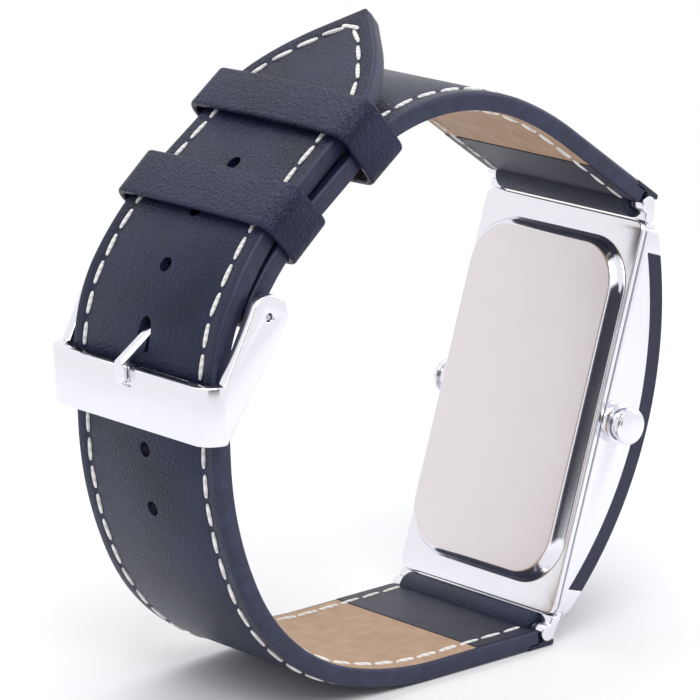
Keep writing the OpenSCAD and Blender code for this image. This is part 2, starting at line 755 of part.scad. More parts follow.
module button_spring(i) {
  y0 = wall_out + collar_base + 0.03;
  r = stem_d / 2 + 0.08 + spring_wire / 2;
  color([0.75, 0.77, 0.8]) button_place(i) translate([0, y0, 0]) rotate([-90, 0, 0])
    coil(r, spring_wire, cap_y - 0.03 - y0, 3);
}
module switch_blade(i) {
  w = blade_w;
  color([0.85, 0.7, 0.4]) place() mirror([0, i < 0 ? 1 : 0, 0]) union() {
    translate([mask_x, blade_y + blade_t - blade_foot, -w / 2]) cube([blade_t, blade_foot, w]);
    translate([mask_x, blade_y, -w / 2]) cube([button_x + w / 2 - mask_x, blade_t, w]);
  }
}
module right_button() {
  button(-1);
}
module right_button_tube() {
  button_tube(-1);
}
module right_button_spring() {
  button_spring(-1);
}
module right_button_seal() {
  button_seal(-1);
}
module right_button_clip() {
  button_clip(-1);
}
module right_switch_blade() {
  switch_blade(-1);
}
module left_button() {
  button(1);
}
module left_button_tube() {
  button_tube(1);
}
module left_button_spring() {
  button_spring(1);
}
module left_button_seal() {
  button_seal(1);
}
module left_button_clip() {
  button_clip(1);
}
module left_switch_blade() {
  switch_blade(1);
}

// a wire wound round the z axis, the height measured over the wire's outside
module coil(r, wire, h, turns, around = 18, sides = 8) {
  n = ceil(turns * around);
  run = h - wire;
  pts = [
    for (i = [0 : n], k = [0 : sides - 1])
      let(
        a = 360 * turns * i / n,
        b = 360 * k / sides,
        rr = r + wire / 2 * cos(b)
      )
      [rr * cos(a), rr * sin(a), wire / 2 + run * i / n + wire / 2 * sin(b)]
  ];
  walls = [
    for (i = [0 : n - 1], k = [0 : sides - 1])
      let(k2 = (k + 1) % sides)
      [i * sides + k, i * sides + k2, (i + 1) * sides + k2, (i + 1) * sides + k]
  ];
  first = [for (k = [sides - 1 : -1 : 0]) k];
  last = [for (k = [0 : sides - 1]) n * sides + k];
  polyhedron(points = pts, faces = concat(walls, [first, last]), convexity = 10);
}

// spring bars: half is half the free width between lugs or legs, reach is the nose's end
module bar_place(q) {
  place() translate([q[0], 0, q[1]]) children();
}
module bar_tube(q, half) {
  l = half - bar_gap;
  color([0.72, 0.74, 0.77]) bar_place(q) difference() {
    rod(-l, l, bar_d / 2);
    rod(-l + 0.25, l - 0.25, bar_in_r);
    rod(-l - 1, l + 1, nose_r + 0.03);
  }
}
module bar_end(q, half, reach, i) {
  l = half - bar_gap;
  color([0.8, 0.82, 0.85]) bar_place(q) mirror([0, i < 0 ? 1 : 0, 0]) union() {
    rod(l - 0.28 - plunger_l, l - 0.28, bar_in_r - plunger_gap);
    rod(l - 0.3, reach - 0.15, nose_r);
    translate([0, reach - 0.15 - eps, 0]) rotate([-90, 0, 0])
      cylinder(h = 0.15 + eps, r1 = nose_r, r2 = nose_r - 0.12);
  }
}
module bar_spring(q, half) {
  l = 2 * (half - bar_gap - 0.28 - plunger_l - 0.03);
  wire = 0.14;
  color([0.7, 0.72, 0.75]) bar_place(q) rotate([90, 0, 0]) translate([0, 0, -l / 2])
    coil(bar_in_r - 0.06 - wire / 2, wire, l, 10, 12, 6);
}
upper_q = [bar_x, upper_z];
lower_q = [bar_x, -upper_z];
lug_reach = lug_in + lug_hole - 0.1;
leg_reach = frame_out - 0.25;
module upper_bar_tube() {
  bar_tube(upper_q, lug_in);
}
module upper_bar_spring() {
  bar_spring(upper_q, lug_in);
}
module upper_bar_right_end() {
  bar_end(upper_q, lug_in, lug_reach, -1);
}
module upper_bar_left_end() {
  bar_end(upper_q, lug_in, lug_reach, 1);
}
module lower_bar_tube() {
  bar_tube(lower_q, lug_in);
}
module lower_bar_spring() {
  bar_spring(lower_q, lug_in);
}
module lower_bar_right_end() {
  bar_end(lower_q, lug_in, lug_reach, -1);
}
module lower_bar_left_end() {
  bar_end(lower_q, lug_in, lug_reach, 1);
}
module buckle_bar_tube() {
  bar_tube(eye, frame_in);
}
module buckle_bar_spring() {
  bar_spring(eye, frame_in);
}
module buckle_bar_right_end() {
  bar_end(eye, frame_in, leg_reach, -1);
}
module buckle_bar_left_end() {
  bar_end(eye, frame_in, leg_reach, 1);
}

// a layer of a strap as a band across the watch, between two distances from the middle line
module layer(p, segs, s0, s1, d0, d1) {
  pts = steps(p, segs, s0, s1);
  across(2 * strap_w_case) polygon(concat(side(pts, d0), back(side(pts, d1))));
}
// the outline of the straps' edges seen from above the case's end
module edges_flat() {
  w1 = strap_w_case / 2;
  w2 = strap_w_buckle / 2;
  translate([0, 0, -far / 2]) linear_extrude(height = far) polygon([
    [2 * taper_end, w1],
    [taper_x0, w1],
    [taper_x1, w2],
    [-far, w2],
    [-far, -w2],
    [taper_x1, -w2],
    [taper_x0, -w1],
    [2 * taper_end, -w1]
  ]);
}
// the long strap's half width at a share of the way from the neck of its point to its end
function tip_w(t) = strap_w_tip / 2 * pow(1 - pow(t, 1.6), 0.9);
// the outline of the long strap's upper part and its point, seen along x, wide below the crossing
module edges_tip() {
  tip = at(long_p, long_segs, long_len);
  neck = at(long_p, long_segs, long_len - tip_l);
  w1 = strap_w_case;
  z1 = cross_p[1] - 1;
  z3 = neck[1];
  z4 = tip[1] - tip_r;
  w2 = strap_w_buckle / 2 + tip_taper / 2 / (z3 - cross_p[1]);
  shares = [0, 0.15, 0.3, 0.45, 0.6, 0.72];
  round_in = [tip_w(0.72), z3 + 0.72 * (tip[1] - z3) - z4];
  a = atan2(round_in[1], round_in[0]) + acos(tip_r / norm(round_in));
  half = concat(
    [[w1, -far], [w1, z1], [w2, z1]],
    [for (t = shares) [tip_w(t), z3 + t * (tip[1] - z3)]],
    [[tip_r * cos(a), z4 + tip_r * sin(a)]]
  );
  translate([-far, 0, 0]) rotate([90, 0, 90]) linear_extrude(height = 2 * far) union() {
    polygon(concat(half, back([for (q = half) [-q[0], q[1]]])));
    translate([0, z4]) circle(r = tip_r);
  }
}
// frees the lugs: j is 1 at the upper end of the case
module strap_notches(q, j) {
  r = lug_r + notch_gap;
  w = 2 * (r + 2 * strap_t);
  for (i = [-1, 1]) translate([q[0], i * (strap_tab_w + far) / 2, q[1]]) {
    rotate([90, 0, 0]) cylinder(h = far, r = r, center = true);
    translate([-w / 2, -far / 2, j > 0 ? -3 * bar_out : 0]) cube([w, far, 3 * bar_out]);
  }
}
module bore(q, r) {
  translate([q[0], 0, q[1]]) rotate([90, 0, 0]) cylinder(h = far, r = r, center = true);
}
bar_bore = bar_d / 2 + loop_gap;
tongue_slot = tongue_eye_w / 2 + 0.35;

module short_strap_leather() {
  color([0.2, 0.21, 0.28]) place() difference() {
    intersection() {
      union() {
        layer(short_p, short_segs, -strap_flap, short_len, -half_t, -layer_d);
        bore(upper_q, end_r);
        bore(eye, eye_r);
      }
      edges_flat();
    }
    strap_notches(upper_q, 1);
    bore(upper_q, bar_bore);
    bore(eye, bar_bore);
    translate([eye[0], 0, eye[1]]) rotate([90, 0, 0])
      cylinder(h = 2 * tongue_slot, r = eye_r + 1.3, center = true);
  }
}
module short_strap_lining() {
  color([0.7, 0.6, 0.5]) place() difference() {
    intersection() {
      layer(short_p, short_segs, patch_l + glue, short_len, -layer_d + glue, half_t);
      edges_flat();
    }
    bore(eye, eye_r + glue);
    translate([eye[0], 0, eye[1]]) rotate([90, 0, 0])
      cylinder(h = 2 * tongue_slot, r = eye_r + 1.3, center = true);
  }
}
module short_strap_patch() {
  color([0.12, 0.12, 0.13]) place() difference() {
    intersection() {
      layer(short_p, short_segs, 0, patch_l, -layer_d + glue, half_t);
      edges_flat();
    }
    strap_notches(upper_q, 1);
    bore(upper_q, end_r + glue);
  }
}
// the long strap's edges
module long_edges() {
  intersection() {
    edges_flat();
    edges_tip();
  }
}
module long_holes() {
  for (k = [-holes_below : holes_above])
    if (k != 0) ride(on_long(k * hole_pitch - hole_used))
      cylinder(h = 4 * strap_t, r = hole_d / 2, center = true);
  tongue_way();
}
// the slanted way of the tongue through the long strap, with a round end, wide enough for it to lift
module tongue_way() {
  w = tongue_w + 2 * tongue_side;
  lift = tongue_t / 2 + tongue_lift;
  low = tongue_t / 2 + 0.25;
  ride([eye[0], eye[1], tongue_a]) translate([eye_r, 0, 0]) rotate([90, 0, 90])
    linear_extrude(height = tongue_len) union() {
      translate([-w / 2, w / 2 - lift]) square([w, lift + low - w / 2]);
      translate([0, w / 2 - lift]) circle(r = w / 2);
    }
}
module long_strap_leather() {
  color([0.2, 0.21, 0.28]) place() difference() {
    intersection() {
      union() {
        layer(long_p, long_segs, -strap_flap, long_len, half_t, layer_d);
        bore(lower_q, end_r);
      }
      long_edges();
    }
    strap_notches(lower_q, -1);
    bore(lower_q, bar_bore);
    long_holes();
  }
}
module long_strap_lining() {
  color([0.7, 0.6, 0.5]) place() difference() {
    intersection() {
      layer(long_p, long_segs, patch_l + glue, long_len, layer_d - glue, -half_t);
      long_edges();
    }
    long_holes();
  }
}
module long_strap_patch() {
  color([0.12, 0.12, 0.13]) place() difference() {
    intersection() {
      layer(long_p, long_segs, 0, patch_l, layer_d - glue, -half_t);
      long_edges();
    }
    strap_notches(lower_q, -1);
    bore(lower_q, end_r + glue);
  }
}

// a leather band round both straps, its inside between v0 and v1
module keeper(q, w, v0, v1, side_w) {
  hv = v1 - v0;
  place() ride(q) translate([-w / 2, 0, (v0 + v1) / 2]) rotate([90, 0, 90]) linear_extrude(height = w)
    difference() {
      rounded(side_w + 2 * keeper_t, hv + 2 * keeper_t, keeper_t + keeper_r);
      rounded(side_w, hv, keeper_r);
    }
}
module fixed_keeper() {
  color([0.2, 0.21, 0.28]) keeper(
    fixed_k,
    fixed_keeper_w,
    fixed_in - keeper_in_gap,
    half_t + keeper_gap,
    keeper_w(fixed_k, fixed_keeper_w / 2, fixed_in)
  );
}
module sliding_keeper() {
  color([0.2, 0.21, 0.28]) keeper(
    slide_k,
    sliding_keeper_w,
    slide_in - keeper_in_gap,
    half_t + keeper_gap,
    keeper_w(slide_k, slide_b, slide_in)
  );
}

// the buckle seen along y: the bar's section above, a leg down to the spring bar
function leg_outline() =
  let(
    low = frame_t / 2 - frame_corner,
    foot = adv([frame_c[0], frame_c[1], frame_q[2]], -frame_bar_w / 2, 0),
    head = adv([frame_c[0], frame_c[1], frame_q[2]], frame_bar_w / 2, 0)
  )
  concat(
    [beside(foot, frame_t / 2), beside(foot, low)],
    round_end(eye, leg_r, leg_dir - 90, leg_dir + 90, 24),
    [beside(head, low), beside(head, frame_t / 2)]
  );
// the bent sheet seen along the strap: the bar above, a leg down each side
module bent_sheet() {
  r = frame_corner;
  difference() {
    union() {
      translate([-frame_out, -far]) square([2 * frame_out, far + frame_t / 2 - r]);
      translate([-frame_out + r, 0]) square([2 * (frame_out - r), frame_t / 2]);
      for (i = [-1, 1]) translate([i * (frame_out - r), frame_t / 2 - r]) circle(r = r);
    }
    translate([-frame_in, -far - 1]) square([2 * frame_in, far + 1 + frame_t / 2 - r]);
    translate([-frame_in + r - leg_t, -r]) square([2 * (frame_in - r + leg_t), r - frame_t / 2]);
    for (i = [-1, 1]) translate([i * (frame_out - r), frame_t / 2 - r])
      scale([1, (r - frame_t) / (r - leg_t)]) circle(r = r - leg_t);
  }
}
module buckle_frame() {
  c = [frame_c[0], frame_c[1], frame_q[2]];
  color([0.85, 0.86, 0.9]) place() difference() {
    intersection() {
      across(2 * frame_out + 2) polygon(leg_outline());
      ride(c) translate([-far / 2, 0, 0]) rotate([90, 0, 90]) linear_extrude(height = far) bent_sheet();
    }
    ride(c) translate([frame_bar_w / 2 - rest_l, -tongue_w / 2 - tongue_side, frame_t / 2 - rest_depth])
      cube([rest_l + 1, tongue_w + 2 * tongue_side, frame_t]);
    bore(eye, nose_r + nose_gap);
  }
}
// a bar of the tongue's section with a round end, from the origin along x
module tongue_bar(l, r) {
  translate([0, -tongue_w / 2, -tongue_t / 2]) cube([l - r, tongue_w, tongue_t]);
  translate([l - r, 0, 0]) cylinder(h = tongue_t, r = r, center = true);
}
module buckle_tongue() {
  color([0.88, 0.89, 0.92]) place() ride([eye[0], eye[1], tongue_a]) difference() {
    union() {
      rotate([90, 0, 0]) cylinder(h = tongue_eye_w, r = tongue_eye_r, center = true);
      translate([0, -tongue_w / 2, -tongue_t / 2]) cube([tongue_len, tongue_w, tongue_t]);
      translate([tongue_len, 0, 0]) rotate([90, 0, 0])
        cylinder(h = tongue_w, r = tongue_t / 2, center = true);
      translate([tongue_len, 0, 0]) rotate([0, -tongue_bend, 0])
        tongue_bar(knee_past + tongue_over, tongue_w / 2);
    }
    rotate([90, 0, 0]) cylinder(h = 2 * tongue_eye_w, r = bar_d / 2 + tongue_gap, center = true);
  }
}

case_body();
front_window();
case_back();
back_gasket();
dial_mask();
lamp_array();
circuit_board();
controller_chip();
quartz_crystal();
module_frame();
upper_cell();
lower_cell();
cell_strap();
insulating_film();
right_button();
right_button_tube();
right_button_spring();
right_button_seal();
right_button_clip();
right_switch_blade();
left_button();
left_button_tube();
left_button_spring();
left_button_seal();
left_button_clip();
left_switch_blade();
upper_bar_tube();
upper_bar_spring();
upper_bar_right_end();
upper_bar_left_end();
lower_bar_tube();
lower_bar_spring();
lower_bar_right_end();
lower_bar_left_end();
buckle_bar_tube();
buckle_bar_spring();
buckle_bar_right_end();
buckle_bar_left_end();
short_strap_leather();
short_strap_lining();
short_strap_patch();
long_strap_leather();
long_strap_lining();
long_strap_patch();
fixed_keeper();
sliding_keeper();
buckle_frame();
buckle_tongue();
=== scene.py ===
"""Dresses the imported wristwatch: a stitched leather strap, a polished case and buckle, a plain studio.

Sizes are in millimetres in the watch's own axes, as in the part: x from the case back to the front,
y across the strap, z along the case. Finished meshes are placed in metres, leaning as the part stands.
"""

import json
import logging
import math
import random
from dataclasses import dataclass, field
from enum import Enum
from functools import cached_property

import bmesh
import bpy
from mathutils import Matrix, Vector


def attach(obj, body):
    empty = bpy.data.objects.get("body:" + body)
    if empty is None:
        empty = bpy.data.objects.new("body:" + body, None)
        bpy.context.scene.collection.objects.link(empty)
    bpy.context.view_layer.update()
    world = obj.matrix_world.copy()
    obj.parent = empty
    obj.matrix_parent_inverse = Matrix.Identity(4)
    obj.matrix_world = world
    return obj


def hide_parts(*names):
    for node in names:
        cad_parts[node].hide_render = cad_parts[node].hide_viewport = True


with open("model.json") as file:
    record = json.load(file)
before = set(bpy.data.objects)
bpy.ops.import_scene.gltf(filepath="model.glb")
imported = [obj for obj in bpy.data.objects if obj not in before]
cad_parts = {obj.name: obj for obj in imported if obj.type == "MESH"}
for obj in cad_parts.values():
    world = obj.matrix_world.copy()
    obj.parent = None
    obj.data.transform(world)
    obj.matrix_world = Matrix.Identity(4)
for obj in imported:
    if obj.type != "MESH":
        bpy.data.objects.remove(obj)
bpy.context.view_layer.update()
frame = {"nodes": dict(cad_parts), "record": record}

MM = 0.001
log = logging.getLogger("watch")


class Side(Enum):
    """Which of two like pieces, as the sign of its place across the strap."""

    RIGHT = -1
    LEFT = 1


class Face(Enum):
    """The strap's face that a seam shows on, as the sign along the outward normal."""

    OUTER = 1
    INNER = -1


# Materials


def linear(code: str) -> tuple[float, float, float, float]:
    """Turns an sRGB hex colour into Blender's linear values.

    Args:
        code: six hex digits after a hash sign.

    Returns:
        Red, green, blue and an alpha of one.
    """
    shares = (int(code[i : i + 2], 16) / 255 for i in (1, 3, 5))
    return (*(c / 12.92 if c <= 0.04045 else ((c + 0.055) / 1.055) ** 2.4 for c in shares), 1.0)


def per(size_mm: float) -> float:
    """The texture scale that makes one repeat or blotch a real size in mm."""
    return 1 / (size_mm * MM)


def add(tree: bpy.types.NodeTree, kind: str, inputs: dict | None = None,
        stops: tuple[tuple[float, str], ...] = (), **settings: object) -> bpy.types.Node:
    """Adds a node with its settings, and sets or links its inputs.

    Args:
        tree: the node tree that takes the node.
        kind: the node's type name.
        inputs: socket name or number to a value, or to the output that feeds it; a node stands for
            its first output.
        stops: the places and hex colours of a ramp, where the node has one.
        settings: the node's own properties.

    Returns:
        The new node.
    """
    made = tree.nodes.new(kind)
    for name, value in settings.items():
        setattr(made, name, value)
    for i, (place, code) in enumerate(stops):
        made.color_ramp.elements[i].position = place
        made.color_ramp.elements[i].color = linear(code)
    for socket, value in (inputs or {}).items():
        feed = value.outputs[0] if isinstance(value, bpy.types.Node) else value
        if isinstance(feed, bpy.types.NodeSocket):
            tree.links.new(feed, made.inputs[socket])
        else:
            made.inputs[socket].default_value = feed
    return made


def start(name: str) -> tuple[bpy.types.Material, bpy.types.NodeTree, bpy.types.NodeSocket]:
    """Starts an empty node material.

    Args:
        name: the material's name.

    Returns:
        The material, its tree and the Object coordinate output.
    """
    material = bpy.data.materials.new(name)
    material.use_nodes = True
    material.node_tree.nodes.clear()
    place = add(material.node_tree, "ShaderNodeTexCoord")
    return material, material.node_tree, place.outputs["Object"]


def end(tree: bpy.types.NodeTree, surface: bpy.types.Node) -> None:
    """Links a shader to the material's output."""
    add(tree, "ShaderNodeOutputMaterial", {"Surface": surface})


@dataclass(frozen=True)
class CalfLeather:
    """Smooth dyed calf: dark and even, with a fine pebble and a soft waxed sheen."""

    name: str = "calf_leather_dyed"
    deep: str = "#13182f"
    light: str = "#252b46"
    grain_mm: float = 0.6
    relief_mm: float = 0.2
    roughness: float = 0.36
    cloud_mm: float = 9.0
    pore_mm: float = 0.3

    def material(self) -> bpy.types.Material:
        """Builds the leather's material.

        Returns:
            The material.
        """
        made, tree, place = start(self.name)
        cloud = add(tree, "ShaderNodeTexNoise", {"Vector": place, "Scale": per(self.cloud_mm), "Detail": 4.0})
        stops = ((0.32, self.deep), (0.7, self.light))
        colour = add(tree, "ShaderNodeValToRGB", {"Fac": cloud}, stops)
        # calf's pebble is about 0.3 mm; it is drawn a little coarser so that it shows
        cells = {"Vector": place, "Scale": per(self.grain_mm)}
        pebble = add(tree, "ShaderNodeTexVoronoi", cells, feature="DISTANCE_TO_EDGE")
        pores = add(tree, "ShaderNodeTexNoise", {"Vector": place, "Scale": per(self.pore_mm), "Detail": 3.0})
        heights = {"Factor": 0.35, "A": pebble, "B": pores}
        relief = add(tree, "ShaderNodeMix", heights, data_type="FLOAT")
        depth = {"Strength": 0.8, "Distance": self.relief_mm * MM, "Height": relief}
        bump = add(tree, "ShaderNodeBump", depth)
        span = {"Value": cloud, "To Min": self.roughness - 0.06, "To Max": self.roughness + 0.08}
        rough = add(tree, "ShaderNodeMapRange", span)
        look = {"Base Color": colour, "Roughness": rough, "IOR": 1.45, "Specular IOR Level": 0.3}
        end(tree, add(tree, "ShaderNodeBsdfPrincipled", look | {"Normal": bump}))
        return made


@dataclass(frozen=True)
class SplitLeather:
    """Undyed lining leather with its nap: matt and slightly mottled."""

    name: str
    deep: str
    light: str
    nap_mm: float = 0.4
    relief_mm: float = 0.05
    roughness: float = 0.78
    mottle_mm: float = 2.2

    def material(self) -> bpy.types.Material:
        """Builds the lining's material.

        Returns:
            The material.
        """
        made, tree, place = start(self.name)
        patches = {"Vector": place, "Scale": per(self.mottle_mm), "Detail": 5.0}
        mottle = add(tree, "ShaderNodeTexNoise", patches)
        stops = ((0.35, self.deep), (0.68, self.light))
        colour = add(tree, "ShaderNodeValToRGB", {"Fac": mottle}, stops)
        nap = add(tree, "ShaderNodeTexNoise", {"Vector": place, "Scale": per(self.nap_mm), "Detail": 3.0})
        depth = {"Strength": 0.5, "Distance": self.relief_mm * MM, "Height": nap}
        bump = add(tree, "ShaderNodeBump", depth)
        look = {"Base Color": colour, "Roughness": self.roughness, "IOR": 1.45, "Normal": bump}
        end(tree, add(tree, "ShaderNodeBsdfPrincipled", look))
        return made


@dataclass(frozen=True)
class EdgePaint:
    """Edge dye brushed on in coats: nearly even, a little rounded and satin."""

    name: str = "edge_dye_brushed"
    deep: str = "#1b1f3a"
    light: str = "#282d4c"
    roughness: float = 0.5
    streak_mm: float = 1.4
    relief_mm: float = 0.04

    def material(self) -> bpy.types.Material:
        """Builds the edge dye's material.

        Returns:
            The material.
        """
        made, tree, place = start(self.name)
        strokes = {"Vector": place, "Scale": per(self.streak_mm), "Detail": 3.0}
        streak = add(tree, "ShaderNodeTexNoise", strokes)
        stops = ((0.35, self.deep), (0.7, self.light))
        colour = add(tree, "ShaderNodeValToRGB", {"Fac": streak}, stops)
        depth = {"Strength": 0.4, "Distance": self.relief_mm * MM, "Height": streak}
        bump = add(tree, "ShaderNodeBump", depth)
        look = {"Base Color": colour, "Roughness": self.roughness, "IOR": 1.5, "Normal": bump}
        end(tree, add(tree, "ShaderNodeBsdfPrincipled", look))
        return made


@dataclass(frozen=True)
class WaxedThread:
    """Twisted linen thread, waxed: near white, with dull strands."""

    name: str = "linen_thread_waxed"
    deep: str = "#e0ddd8"
    light: str = "#fbfaf7"
    strand_mm: float = 0.28
    roughness: float = 0.6
    relief_mm: float = 0.06

    def material(self) -> bpy.types.Material:
        """Builds the thread's material.

        Returns:
            The material.
        """
        made, tree, place = start(self.name)
        twist = {"Vector": place, "Scale": per(self.strand_mm) / math.tau, "Distortion": 1.5}
        wave = add(tree, "ShaderNodeTexWave", twist, bands_direction="DIAGONAL")
        strands = wave.outputs["Fac"]
        stops = ((0.2, self.deep), (0.6, self.light))
        colour = add(tree, "ShaderNodeValToRGB", {"Fac": strands}, stops)
        depth = {"Strength": 0.6, "Distance": self.relief_mm * MM, "Height": strands}
        bump = add(tree, "ShaderNodeBump", depth)
        look = {"Base Color": colour, "Roughness": self.roughness, "Normal": bump}
        end(tree, add(tree, "ShaderNodeBsdfPrincipled", look))
        return made


@dataclass(frozen=True)
class Steel:
    """Stainless steel, polished or satin, with hairlines of its finish and softened edges."""

    name: str
    colour: str
    roughness: float
    hairline_mm: float = 0.08
    stretch: tuple[float, float, float] = (1.0, 1.0, 1.0)
    relief_mm: float = 0.0015
    edge_mm: float = 0.12
    smear_mm: float = 5.0

    def material(self) -> bpy.types.Material:
        """Builds the steel's material.

        Returns:
            The material.
        """
        made, tree, place = start(self.name)
        lengthwise = add(tree, "ShaderNodeMapping", {"Vector": place, "Scale": self.stretch})
        brushing = {"Vector": lengthwise, "Scale": per(self.hairline_mm), "Detail": 2.0}
        lines = add(tree, "ShaderNodeTexNoise", brushing)
        smear = add(tree, "ShaderNodeTexNoise", {"Vector": place, "Scale": per(self.smear_mm), "Detail": 3.0})
        span = {"Value": smear, "To Min": self.roughness * 0.85, "To Max": self.roughness * 1.2}
        rough = add(tree, "ShaderNodeMapRange", span)
        # the rounding of machined edges, as the eye sees it on every corner's glint
        edge = add(tree, "ShaderNodeBevel", {"Radius": self.edge_mm * MM}, samples=6)
        depth = {"Strength": 0.3, "Distance": self.relief_mm * MM, "Height": lines, "Normal": edge}
        bump = add(tree, "ShaderNodeBump", depth)
        look = {"Base Color": linear(self.colour), "Metallic": 1.0, "Roughness": rough, "Normal": bump}
        end(tree, add(tree, "ShaderNodeBsdfPrincipled", look))
        return made


@dataclass(frozen=True)
class Moulded:
    """Moulded or lacquered plastic, rubber or film, told apart by colour, gloss and clearness."""

    name: str
    colour: str
    roughness: float
    ior: float = 1.5
    clear: float = 0.0
    grain_mm: float = 0.3
    relief_mm: float = 0.004

    def material(self) -> bpy.types.Material:
        """Builds the plastic's material.

        Returns:
            The material.
        """
        made, tree, place = start(self.name)
        grain = add(tree, "ShaderNodeTexNoise", {"Vector": place, "Scale": per(self.grain_mm), "Detail": 2.0})
        depth = {"Strength": 0.2, "Distance": self.relief_mm * MM, "Height": grain}
        bump = add(tree, "ShaderNodeBump", depth)
        span = {"Value": grain, "To Min": self.roughness * 0.9, "To Max": self.roughness * 1.15}
        rough = add(tree, "ShaderNodeMapRange", span)
        look = {"Base Color": linear(self.colour), "Roughness": rough, "IOR": self.ior, "Normal": bump}
        end(tree, add(tree, "ShaderNodeBsdfPrincipled", look | {"Transmission Weight": self.clear}))
        return made


class Finish(Enum):
    """The finishes that this watch has."""

    LEATHER = CalfLeather()
    KEEPER = CalfLeather("calf_leather_creased", "#11152f", "#232848", 0.7, 0.32, 0.34)
    EDGE = EdgePaint()
    LINING = SplitLeather("split_leather_lining", "#b0937a", "#bb9f87")
    PATCH = SplitLeather("calf_leather_black_turned", "#131728", "#20253c", 0.5, 0.04, 0.5)
    THREAD = WaxedThread()
    POLISHED = Steel("stainless_steel_polished", "#ebebf2", 0.15)
    SATIN = Steel("stainless_steel_satin", "#e3dde0", 0.36, 0.12, (1.0, 1.0, 0.04), 0.004)
    TURNED = Steel("stainless_steel_turned", "#b9bbc4", 0.28)
    WIRE = Steel("spring_steel_drawn", "#9a9ca3", 0.3)
    CELL = Steel("nickel_plated_can", "#c9cacd", 0.3)
    BRASS = Steel("brass_sheet_rolled", "#d8b978", 0.32)
    WINDOW = Moulded("acrylic_tinted_polished", "#0f1138", 0.05, 1.49, 0.05, 3.0)
    RUBBER = Moulded("nitrile_rubber_moulded", "#161616", 0.7)
    MASK = Moulded("abs_black_moulded", "#0e0e11", 0.6)
    HOLDER = Moulded("nylon_grey_moulded", "#26272a", 0.55)
    BOARD = Moulded("epoxy_board_lacquered", "#1c5a34", 0.35)
    CHIP = Moulded("epoxy_chip_moulded", "#131315", 0.6)
    LAMP = Moulded("epoxy_lamp_red_cast", "#a81410", 0.15)
    FILM = Moulded("polyimide_film_amber", "#b5701c", 0.2)

    def material(self) -> bpy.types.Material:
        """The finish's material, made once."""
        return bpy.data.materials.get(self.value.name) or self.value.material()


# Routes and meshes


@dataclass(frozen=True)
class Pose:
    """A place on a route in the watch's xz plane, and the direction there in degrees."""

    x: float
    z: float
    heading: float

    def ahead(self, length: float, bend: float = 0.0) -> "Pose":
        """Goes on along a straight line or an arc.

        Args:
            length: the distance in mm.
            bend: the curvature, one over the radius, positive to the left.

        Returns:
            The pose reached.
        """
        a = math.radians(self.heading)
        if bend == 0:
            return Pose(self.x + length * math.cos(a), self.z + length * math.sin(a), self.heading)
        b = a + length * bend
        x = self.x + (math.sin(b) - math.sin(a)) / bend
        z = self.z - (math.cos(b) - math.cos(a)) / bend
        return Pose(x, z, math.degrees(b))

    def beside(self, distance: float) -> "Pose":
        """The pose moved to its left by a distance."""
        a = math.radians(self.heading)
        return Pose(self.x - distance * math.sin(a), self.z + distance * math.cos(a), self.heading)

    def turned(self, angle: float) -> "Pose":
        """The pose turned on the spot by an angle in degrees."""
        return Pose(self.x, self.z, self.heading + angle)

    def matrix(self, outward: int = 1) -> Matrix:
        """The frame that rides on the pose: x ahead, y across and z to the outer side.

        Args:
            outward: 1 where the outer side is on the left, -1 where it is on the right.

        Returns:
            The frame's matrix.
        """
        a = math.radians(self.heading)
        ahead = Vector((math.cos(a), 0, math.sin(a)))
        out = Vector((-math.sin(a), 0, math.cos(a))) * outward
        made = Matrix((ahead, out.cross(ahead), out)).transposed().to_4x4()
        made.translation = (self.x, 0, self.z)
        return made


@dataclass(frozen=True)
class Stretch:
    """A part of a route with one curvature."""

    length: float
    bend: float = 0.0

    def pieces(self, step: float, angle: float) -> int:
        """How many even pieces it takes, none longer than step in mm or turning more than angle."""
        turned_by = abs(math.degrees(self.length * self.bend))
        return max(1, math.ceil(self.length / step), math.ceil(turned_by / angle))


def arc(radius: float, angle: float, turn: int) -> Stretch:
    """A bend of a radius in mm and an angle in degrees, to the left with 1 and to the right with -1."""
    return Stretch(radius * math.radians(angle), turn / radius)


@dataclass(frozen=True)
class Route:
    """A chain of stretches from a first pose."""

    first: Pose
    stretches: tuple[Stretch, ...]

    @property
    def length(self) -> float:
        """The route's whole length in mm."""
        return sum(s.length for s in self.stretches)

    def at(self, s: float) -> Pose:
        """The pose at a distance along the route, also past its ends.

        Args:
            s: the distance from the start in mm.

        Returns:
            The pose there.
        """
        pose = self.first
        for stretch in self.stretches[:-1]:
            if s <= stretch.length:
                return pose.ahead(s, stretch.bend)
            pose = pose.ahead(stretch.length, stretch.bend)
            s -= stretch.length
        return pose.ahead(s, self.stretches[-1].bend)

    def stations(self, step: float, angle: float) -> list[float]:
        """Distances along the route for a sweep, closer in its bends.

        Args:
            step: the widest gap in mm.
            angle: the most that a piece may turn, in degrees.

        Returns:
            The distances from 0 to the length.
        """
        found, start_at = [0.0], 0.0
        for stretch in self.stretches:
            count = stretch.pieces(step, angle)
            found += [start_at + stretch.length * (i + 1) / count for i in range(count)]
            start_at += stretch.length
        return found


def quarter(y: float, v: float, radius: float, first: float, steps: int) -> list[tuple[float, float]]:
    """A quarter circle of a section.

    Args:
        y: the circle's centre across.
        v: the circle's centre outwards.
        radius: its radius.
        first: the angle where it starts, in degrees.
        steps: how many pieces it has.

    Returns:
        The points.
    """
    angles = (math.radians(first + 90 * i / steps) for i in range(steps + 1))
    return [(y + radius * math.cos(a), v + radius * math.sin(a)) for a in angles]


